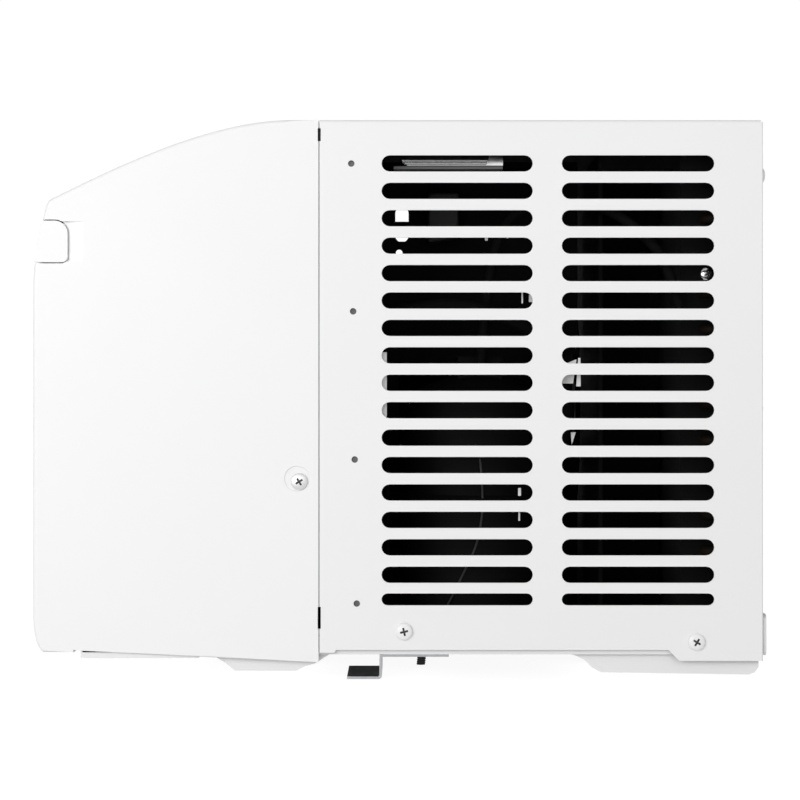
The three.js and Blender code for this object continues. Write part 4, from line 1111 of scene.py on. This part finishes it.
def makeBracket(word):
    low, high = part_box(f"sill_bracket_{word}")
    studLow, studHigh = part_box(f"bracket_stud_{word}")
    stud = (studLow + studHigh) / 2
    t, r = bracketShape["thick"], bracketShape["bend"]
    leg = low.y + bracketShape["legFront"]
    outline = [(low.y, low.z)] + arc(leg - r, low.z + r, r, -90, 0, 5)
    outline += arc(leg + r - t, high.z - r, r - t, 180, 90, 4) + [(high.y, high.z - t)]
    outline += [(high.y, high.z)] + arc(leg - t + r, high.z - r, r, 90, 180, 5)
    outline += arc(leg - r, low.z + r, r - t, 0, -90, 4) + [(low.y, low.z + t)]
    bracket = prism(f"sillBracket{word.title()}", outline, "x", low.x, high.x, "zinc")
    wide = bracketShape["hole"]
    hole = [(0, high.z - 6 * mm), (wide, high.z - 6 * mm), (wide, high.z + mm), (0, high.z + mm)]
    carve(bracket, latheParts(hole, 24, Matrix.Translation((stud.x, stud.y, 0))))
    soften(bracket, bracketShape["edge"], 2)
    fit(bracket, "chassis", "zinc", f"sill_bracket_{word}")
    radius, thread, pitch = bracketShape["studRadius"], bracketShape["thread"], bracketShape["threadPitch"]
    sides, verts, faces = 24, [], []
    rise = studHigh.z - 4 * mm - studLow.z
    turns = rise / pitch
    rings = int(turns * 8)
    for ring in range(rings + 1):
        z = studLow.z + rise * ring / rings
        for i in range(sides):
            turn = 2 * math.pi * i / sides
            phase = (ring / 8 - i / sides) % 1.0
            reach = radius - thread * abs(2 * phase - 1)
            lean = (z - high.z) * bracketShape["lean"]
            verts.append((stud.x + reach * math.cos(turn), stud.y + lean + reach * math.sin(turn), z))
    for ring in range(rings):
        for i in range(sides):
            j = (i + 1) % sides
            a, b = ring * sides, (ring + 1) * sides
            faces.append((a + i, a + j, b + j, b + i))
    faces += [tuple(range(sides))[::-1], tuple(range(rings * sides, (rings + 1) * sides))]
    nut = arc(stud.x, stud.y, bracketShape["nutRadius"], 0, 300, 5)
    parts = [(verts, faces), prismParts(nut, "z", studHigh.z - bracketShape["nutHeight"], studHigh.z)]
    studPiece = meshPiece(f"bracketStud{word.title()}", *joinParts(parts), "blackOxide")
    shade(studPiece, 40)
    fit(studPiece, "chassis", "blackOxide", f"bracket_stud_{word}")


for word in ("right", "left"):
    makeBracket(word)
print("sill brackets built")


# Control panel, keys and display

panelShape = {"edge": 0.35 * mm, "keyEdge": 0.45 * mm, "keyFace": -0.6 * mm, "markLift": 0.14 * mm,
              "markDepth": 0.5 * mm}
markShapes = {
    "power_button": (("ring", (2.6, 0.6)), ("bar", (0, 1.9, 0.6, 2.8, 0.25))),
    "mode_button": [("bar", (0, up, 5, 0.7, 0.3)) for up in (-1.6, 0, 1.6)],
    "fan_speed_button": [("bar", (across, tall / 2 - 1.4, 1.1, tall, 0.2))
                         for across, tall in ((-2, 1.4), (0, 2.6), (2, 4))],
    "timer_button": (("ring", (2.5, 0.5)), ("bar", (0.6, 0, 1.8, 0.5, 0.2))),
    "energy_saver_button": (("patch", ((0, 2.6), (-2, -0.4), (0, -2.2), (2, -0.4))),),
    "temp_up_button": (("patch", ((-2.6, -1.6), (2.6, -1.6), (0, 2.2))),),
    "temp_down_button": (("patch", ((2.6, 1.6), (-2.6, 1.6), (0, -2.2))),),
}


def slopeFlat(name, outlines, lift, body, finish):
    # Thin raised marks on the slope, from outlines in its own directions.
    low, high = lift - panelShape["markDepth"], lift + panelShape["markLift"]
    parts = [prismParts(outline, "z", low, high) for outline in outlines]
    piece = meshPiece(name, *placed(joinParts(parts), slopeMatrix), finish)
    return fit(piece, body, finish)


def toSlope(point):
    return slopeMatrix.inverted() @ point


def ringOutline(x, u, radius, width):
    # A ring broken at the top, as one outline.
    return arc(x, u, radius, 125, 415, 20) + arc(x, u, radius - width, 415, 125, 20)


def markOutline(kind, values, x, u):
    if kind == "patch":
        return [(x + across * mm, u + up * mm) for across, up in values]
    if kind == "ring":
        radius, width = values
        return ringOutline(x, u, radius * mm, width * mm)
    across, up, wide, tall, radius = [value * mm for value in values]
    return roundedOutline(x + across, u + up, wide, tall, radius, 2)


def makeControls():
    softCopy("control_panel", "controlPanelPlate", "cover", width=panelShape["edge"])
    softCopy("display_lens", "displayWindow", "lens", width=0.2 * mm)
    softCopy("circuit_board", "controlBoard", "board", width=0.15 * mm)
    for name, marks in markShapes.items():
        label = name.title().replace("_", "")
        softCopy(name, f"key{label}", "key", name, panelShape["keyEdge"], 3)
        low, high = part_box(name)
        center = toSlope((low + high) / 2)
        outlines = [markOutline(kind, values, center.x, center.y) for kind, values in marks]
        slopeFlat(f"mark{label}", outlines, panelShape["keyFace"], name, "mark")


makeControls()
print("controls built")


# Louvres, vanes and the fresh air vent

for index in range(1, 6):
    softCopy(f"louvre_{index}", f"louvreBlade{index}", "cover", f"louvre_{index}", 0.3 * mm, 2, 8, 60)
    softCopy(f"air_vane_{index}", f"airVane{index}", "cover", f"air_vane_{index}", 0.3 * mm)
softCopy("vane_link", "vaneLinkBar", "blackPlasticShade", "vane_link", 0.2 * mm)
softCopy("vent_lever", "ventLeverKnob", "cover", "vent_lever", 0.6 * mm, 3)
softCopy("vent_door", "ventDoorFlap", "blackPlasticShade", "vent_door", 0.3 * mm)
print("louvres built")


# Works inside the case

coilShape = {"finPitch": 1.7 * mm, "finThick": 0.25 * mm, "finInset": 6 * mm, "finDrop": 4.4 * mm,
             "bendReach": 12 * mm, "plate": 1.4 * mm, "tubeRadius": 3.4 * mm, "tubeFit": 0.98}
coils = {
    # The condenser's plates, bends and fins take near-black painted shade; the evaporator keeps its zinc,
    # copper and aluminium.
    "condenser": {"ys": (214 * mm, 229 * mm), "lowest": 62, "pitch": 26, "rows": 12,
                  "plates": "darkSheet", "bends": "tarnish", "fins": "coatedFins"},
    "evaporator": {"ys": (-220 * mm, -204 * mm), "lowest": 80, "pitch": 23, "rows": 9,
                   "plates": "zinc", "bends": "copper", "fins": "fins"},
}


def sweepParts(points, radius, sides=14, steps=8):
    # Round tube through the points, rounded between them.
    path = []
    count = len(points)
    rows = [Vector(p) for p in points]
    for i in range(count - 1):
        a, b = rows[max(i - 1, 0)], rows[i]
        c, d = rows[i + 1], rows[min(i + 2, count - 1)]
        for k in range(steps):
            t = k / steps
            path.append(0.5 * ((2 * b) + (c - a) * t + (2 * a - 5 * b + 4 * c - d) * t * t
                               + (3 * b - a - 3 * c + d) * t ** 3))
    path.append(rows[-1])
    verts, faces = [], []
    side = (path[1] - path[0]).orthogonal().normalized()
    for i, point in enumerate(path):
        ahead = (path[min(i + 1, len(path) - 1)] - path[max(i - 1, 0)]).normalized()
        side = (side - ahead * side.dot(ahead)).normalized()
        other = ahead.cross(side)
        for k in range(sides):
            turn = 2 * math.pi * k / sides
            verts.append(point + (side * math.cos(turn) + other * math.sin(turn)) * radius)
    for i in range(len(path) - 1):
        for k in range(sides):
            j = (k + 1) % sides
            faces.append((i * sides + k, i * sides + j, (i + 1) * sides + j, (i + 1) * sides + k))
    last = (len(path) - 1) * sides
    faces += [tuple(range(sides))[::-1], tuple(range(last, last + sides))]
    return verts, faces


def makeCoil(label, values):
    node = f"{label}_coil"
    low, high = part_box(node)
    shape = coilShape
    inset, drop, radius = shape["finInset"], shape["finDrop"], shape["tubeRadius"]
    end = high.x - shape["bendReach"]
    first, last = low.x + 2.5 * mm, end - 1.5 * mm
    count = int((last - first) / shape["finPitch"])
    parts = []
    for i in range(count + 1):
        x = first + (last - first) * i / count
        parts.append(boxParts((x, low.y + inset, low.z + drop),
                              (x + shape["finThick"], high.y - inset + 2 * mm, high.z - drop)))
    finish = values["fins"]
    fit(meshPiece(f"{label}Fins", *joinParts(parts), finish), "chassis", finish, node)
    ends = [boxParts((x, low.y, low.z), (x + shape["plate"], high.y, high.z)) for x in (low.x, end)]
    finish = values["plates"]
    plates = meshPiece(f"{label}Plates", *joinParts(ends), finish)
    soften(plates, 0.3 * mm, 2)
    fit(plates, "chassis", finish)
    near, far = values["ys"]
    half = (far - near) / 2
    turn = high.x - radius - half
    root = end - 6 * mm
    tubes = []
    for row in range(values["rows"]):
        z = (values["lowest"] + values["pitch"] * row) * mm
        bend = [(root, near, z), (turn, near, z)]
        for degrees in (30, 60, 90, 120, 150):
            a = math.radians(degrees)
            bend.append((turn + half * math.sin(a), near + half - half * math.cos(a), z))
        bend += [(turn, far, z), (root, far, z)]
        tubes.append(sweepParts(bend, radius * shape["tubeFit"], 14, 3))
    finish = values["bends"]
    copper = meshPiece(f"{label}Bends", *joinParts(tubes), finish)
    shade(copper, 60)
    fit(copper, "chassis", finish)


for label, values in coils.items():
    makeCoil(label, values)
print("coils built")


def makeFilter():
    softCopy("filter_frame", "filterFrameGrid", "filterFrame", "filter", 0.3 * mm)
    low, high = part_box("filter_mesh")
    depth = (low.y + high.y) / 2
    rim = ((low.x, low.z), (high.x, low.z), (high.x, high.z), (low.x, high.z))
    corners = [(x, depth, z) for x, z in rim]
    screen = meshPiece("filterScreenCloth", corners, [(0, 1, 2, 3)], "filterScreen")
    fit(screen, "filter", "filterScreen", "filter_mesh")


makeFilter()
# Node, piece, finish, body, width of the eased edges in millimetres, and what differs from the usual.
# The near-black finishes in this table carry painted shade on top of the parts' own colours.
worksShape = (
    ("blower_scroll", "blowerScrollFoam", "foam", "chassis", 0.8, {"angle": 30}),
    ("discharge_duct", "dischargeDuctFoam", "foam", "chassis", 0.5, {"angle": 30}),
    ("bulkhead", "bulkheadSheet", "darkSheet", "chassis", 0.2, {}),
    ("fan_shroud", "fanShroudMoulding", "blackPlasticShade", "chassis", 0.3, {}),
    ("motor_mount", "motorMountSheet", "darkSheet", "chassis", 0.3, {}),
    ("partition_brace", "partitionBraceSheet", "darkSheet", "chassis", 0.2, {}),
    ("control_box", "controlBoxShell", "darkSheet", "chassis", 0.3, {}),
    ("cord_gland", "cordGlandBushing", "blackPlasticShade", "chassis", 0.3, {}),
    ("fan_motor", "fanMotorShell", "blackEnamelShade", "chassis", 0.5, {}),
    ("motor_shaft", "motorShaftBar", "bright", "rotor", 0.3, {"smoothAngle": 50}),
    ("blower_wheel", "blowerWheelCage", "blackPlasticShade", "rotor", 0.2, {}),
    ("condenser_fan", "condenserFanBlades", "blackPlasticShade", "rotor", 0.4, {}),
    ("compressor", "compressorShell", "blackEnamelShade", "chassis", 0.8, {"segments": 3}),
    ("accumulator", "accumulatorShell", "blackEnamelShade", "chassis", 1.2, {"segments": 3}),
    ("run_capacitor", "runCapacitorCan", "darkSheet", "chassis", 0.6, {}),
)
for node, piece, finish, body, edge, extra in worksShape:
    softCopy(node, piece, finish, body, edge * mm, **extra)
print("works built")


pipeShape = {
    "suction_tube": (4.8 * mm, (
        (148, -34, 186), (148, -34, 232), (158, -46, 250), (200, -40, 250), (200, 40, 262), (200, 100, 240),
        (190, 120, 200), (186, 118, 160))),
    "discharge_tube": (3.6 * mm, (
        (188, 58, 218), (192, 68, 300), (212, 90, 330), (222, 140, 330), (224, 180, 300), (223, 196, 260))),
    "capillary_tube": (1.3 * mm, (
        (70, 100, 60), (78, 60, 90), (84, 20, 130), (90, -20, 150), (92, -50, 140), (90, -62, 120))),
}


def makePipes():
    for node, (radius, points) in pipeShape.items():
        parts = sweepParts([Vector(p) * mm for p in points], radius, 16, 7)
        # The tubes take the near-black painted-shade finish.
        pipe = meshPiece(node.title().replace("_", "").replace("Tube", "Pipe"), *parts, "sleeve")
        shade(pipe, 60)
        fit(pipe, "chassis", "sleeve", node)


makePipes()


braceShape = {"front": 1.5 * mm, "rear": 72.6 * mm, "top": 364.2 * mm, "ridge": 1.15 * mm, "ridges": 4,
              "depth": 14 * mm, "inset": 22 * mm, "lipDrop": 2.2 * mm, "footFront": 60.5 * mm,
              "footTop": 368.5 * mm}


def makeBrace():
    # Ribbed plated rail under the roof, with a folded foot at its outdoor end.
    values = braceShape
    side = caseBox[1].x - values["inset"]
    inner = side - values["depth"]
    parts = []
    for i in range(values["ridges"]):
        high = values["top"] - i * values["ridge"]
        parts.append(boxParts((inner, values["front"] + i * 1.2 * mm, high - values["ridge"] * 0.8),
                              (side + (i % 2) * 0.8 * mm, values["rear"], high)))
    bottom = values["top"] - values["ridges"] * values["ridge"]
    foot = [(values["footFront"], bottom), (values["rear"], bottom), (values["rear"], values["footTop"]),
            (values["footFront"] + 3 * mm, values["footTop"])]
    parts.append(prismParts(foot, "x", side - 4 * mm, side + 2 * mm))
    brace = meshPiece("roofRail", *joinParts(parts), "bright")
    soften(brace, 0.2 * mm, 2)
    fit(brace, "chassis", "bright")
    low = (inner, values["front"] - 6 * mm, bottom - values["lipDrop"])
    lip = meshPiece("roofRailLip", *boxParts(low, (side, values["rear"], bottom)), "tab")
    fit(soften(lip, 0.3 * mm, 2), "chassis", "tab")


# Outlines are (y, z) in millimetres; boxes are (low y, low z, high y, high z).
fittingShape = {
    "plateScrew": (10.4 * mm, 19 * mm, 86.6 * mm), "screwRadius": 5.4 * mm, "screwHeight": 2.4 * mm,
    "inset": 10 * mm, "strip": (-15, 182.5, -9.2, 228),
    "guards": (((111, 206), (121, 206), (123.4, 223), (111, 218)),
               ((123.2, 204), (126.4, 204), (126.2, 224), (124.6, 224)),
               ((111, 165), (113.2, 165), (112.6, 172), (111, 172)),
               ((120, 163), (123, 172), (119.4, 172))),
    "clips": ((82.6, 127.5, 84.6, 133), (82.8, 110, 84, 116), (59.4, 306, 61.4, 311),
              (74.6, 307.6, 75.8, 311), (85, 262, 86, 272), (90.2, 263, 93, 268)),
    "pads": ((-2, (-6, 26, 8, 160), 2), (0.4, (82, 200, 100, 228), 3)),
    "relay": ((21.5, 314), (44.5, 318), (44.5, 352), (21.5, 352)), "relayDepth": (2, 22),
    "leadRadius": 0.8 * mm,
    "lead": ((206, 54, 166), (214, 56.5, 153), (216, 58.2, 127.4), (216, 57.4, 109.7), (215, 53.3, 90.7),
             (214, 44.5, 71.3), (213, 35.9, 53.6), (210, 28, 38), (208, 24, 22)),
}


def slabParts(inner, outer, box):
    lowY, lowZ, highY, highZ = box
    return boxParts((inner, lowY * mm, lowZ * mm), (outer, highY * mm, highZ * mm))


def inMetres(points):
    return [tuple(value * mm for value in point) for point in points]


def makeFittings():
    # Small fittings just inside the slots: plate screw, edge strip, tube guard, clips, pads, relay, lead.
    values = fittingShape
    low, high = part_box("condenser_coil")
    back, along, drop = values["plateScrew"]
    face = (high.x - back, low.y + along, high.z - drop)
    screw = screwHead("coilPlateScrew", face, (1, 0, 0), values["screwRadius"], values["screwHeight"], 25,
                      "bright")
    fit(screw, "chassis", "bright")
    inner = caseBox[1].x - values["inset"]
    strip = meshPiece("insulationEdge", *slabParts(inner - 1.2 * mm, inner, values["strip"]), "satin")
    fit(soften(strip, 0.3 * mm, 2), "chassis", "satin")
    parts = [prismParts(inMetres(outline), "x", inner - 1.5 * mm, inner) for outline in values["guards"]]
    guard = meshPiece("tubeGuard", *joinParts(parts), "nylon")
    fit(soften(guard, 0.25 * mm, 2), "chassis", "nylon")
    parts = [slabParts(inner - 2 * mm, inner, box) for box in values["clips"]]
    clip = meshPiece("wiringClips", *joinParts(parts), "nylon")
    fit(soften(clip, 0.2 * mm, 2), "chassis", "nylon")
    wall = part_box("partition_brace")[1].x
    # The pads take the near-black painted-shade finish.
    parts = [slabParts(wall + near * mm, wall + far * mm, box) for near, box, far in values["pads"]]
    pad = meshPiece("bracePads", *joinParts(parts), "darkSheet")
    fit(soften(pad, 0.5 * mm, 2), "chassis", "darkSheet")
    near, far = values["relayDepth"]
    box = prism("relayBox", inMetres(values["relay"]), "x", wall + near * mm, wall + far * mm, "cable")
    fit(soften(box, 2 * mm, 3), "chassis", "cable")
    parts = sweepParts(inMetres(values["lead"]), values["leadRadius"], 10, 6)
    lead = meshPiece("earthLead", *parts, "cable")
    fit(shade(lead, 60), "chassis", "cable")


makeFittings()
makeBrace()
print("pipes, brace and fittings built")


for part in frame["record"]["subparts"]:
    paintNode(part["node"], slotFinishes[part["material_slot"]])

print("done")
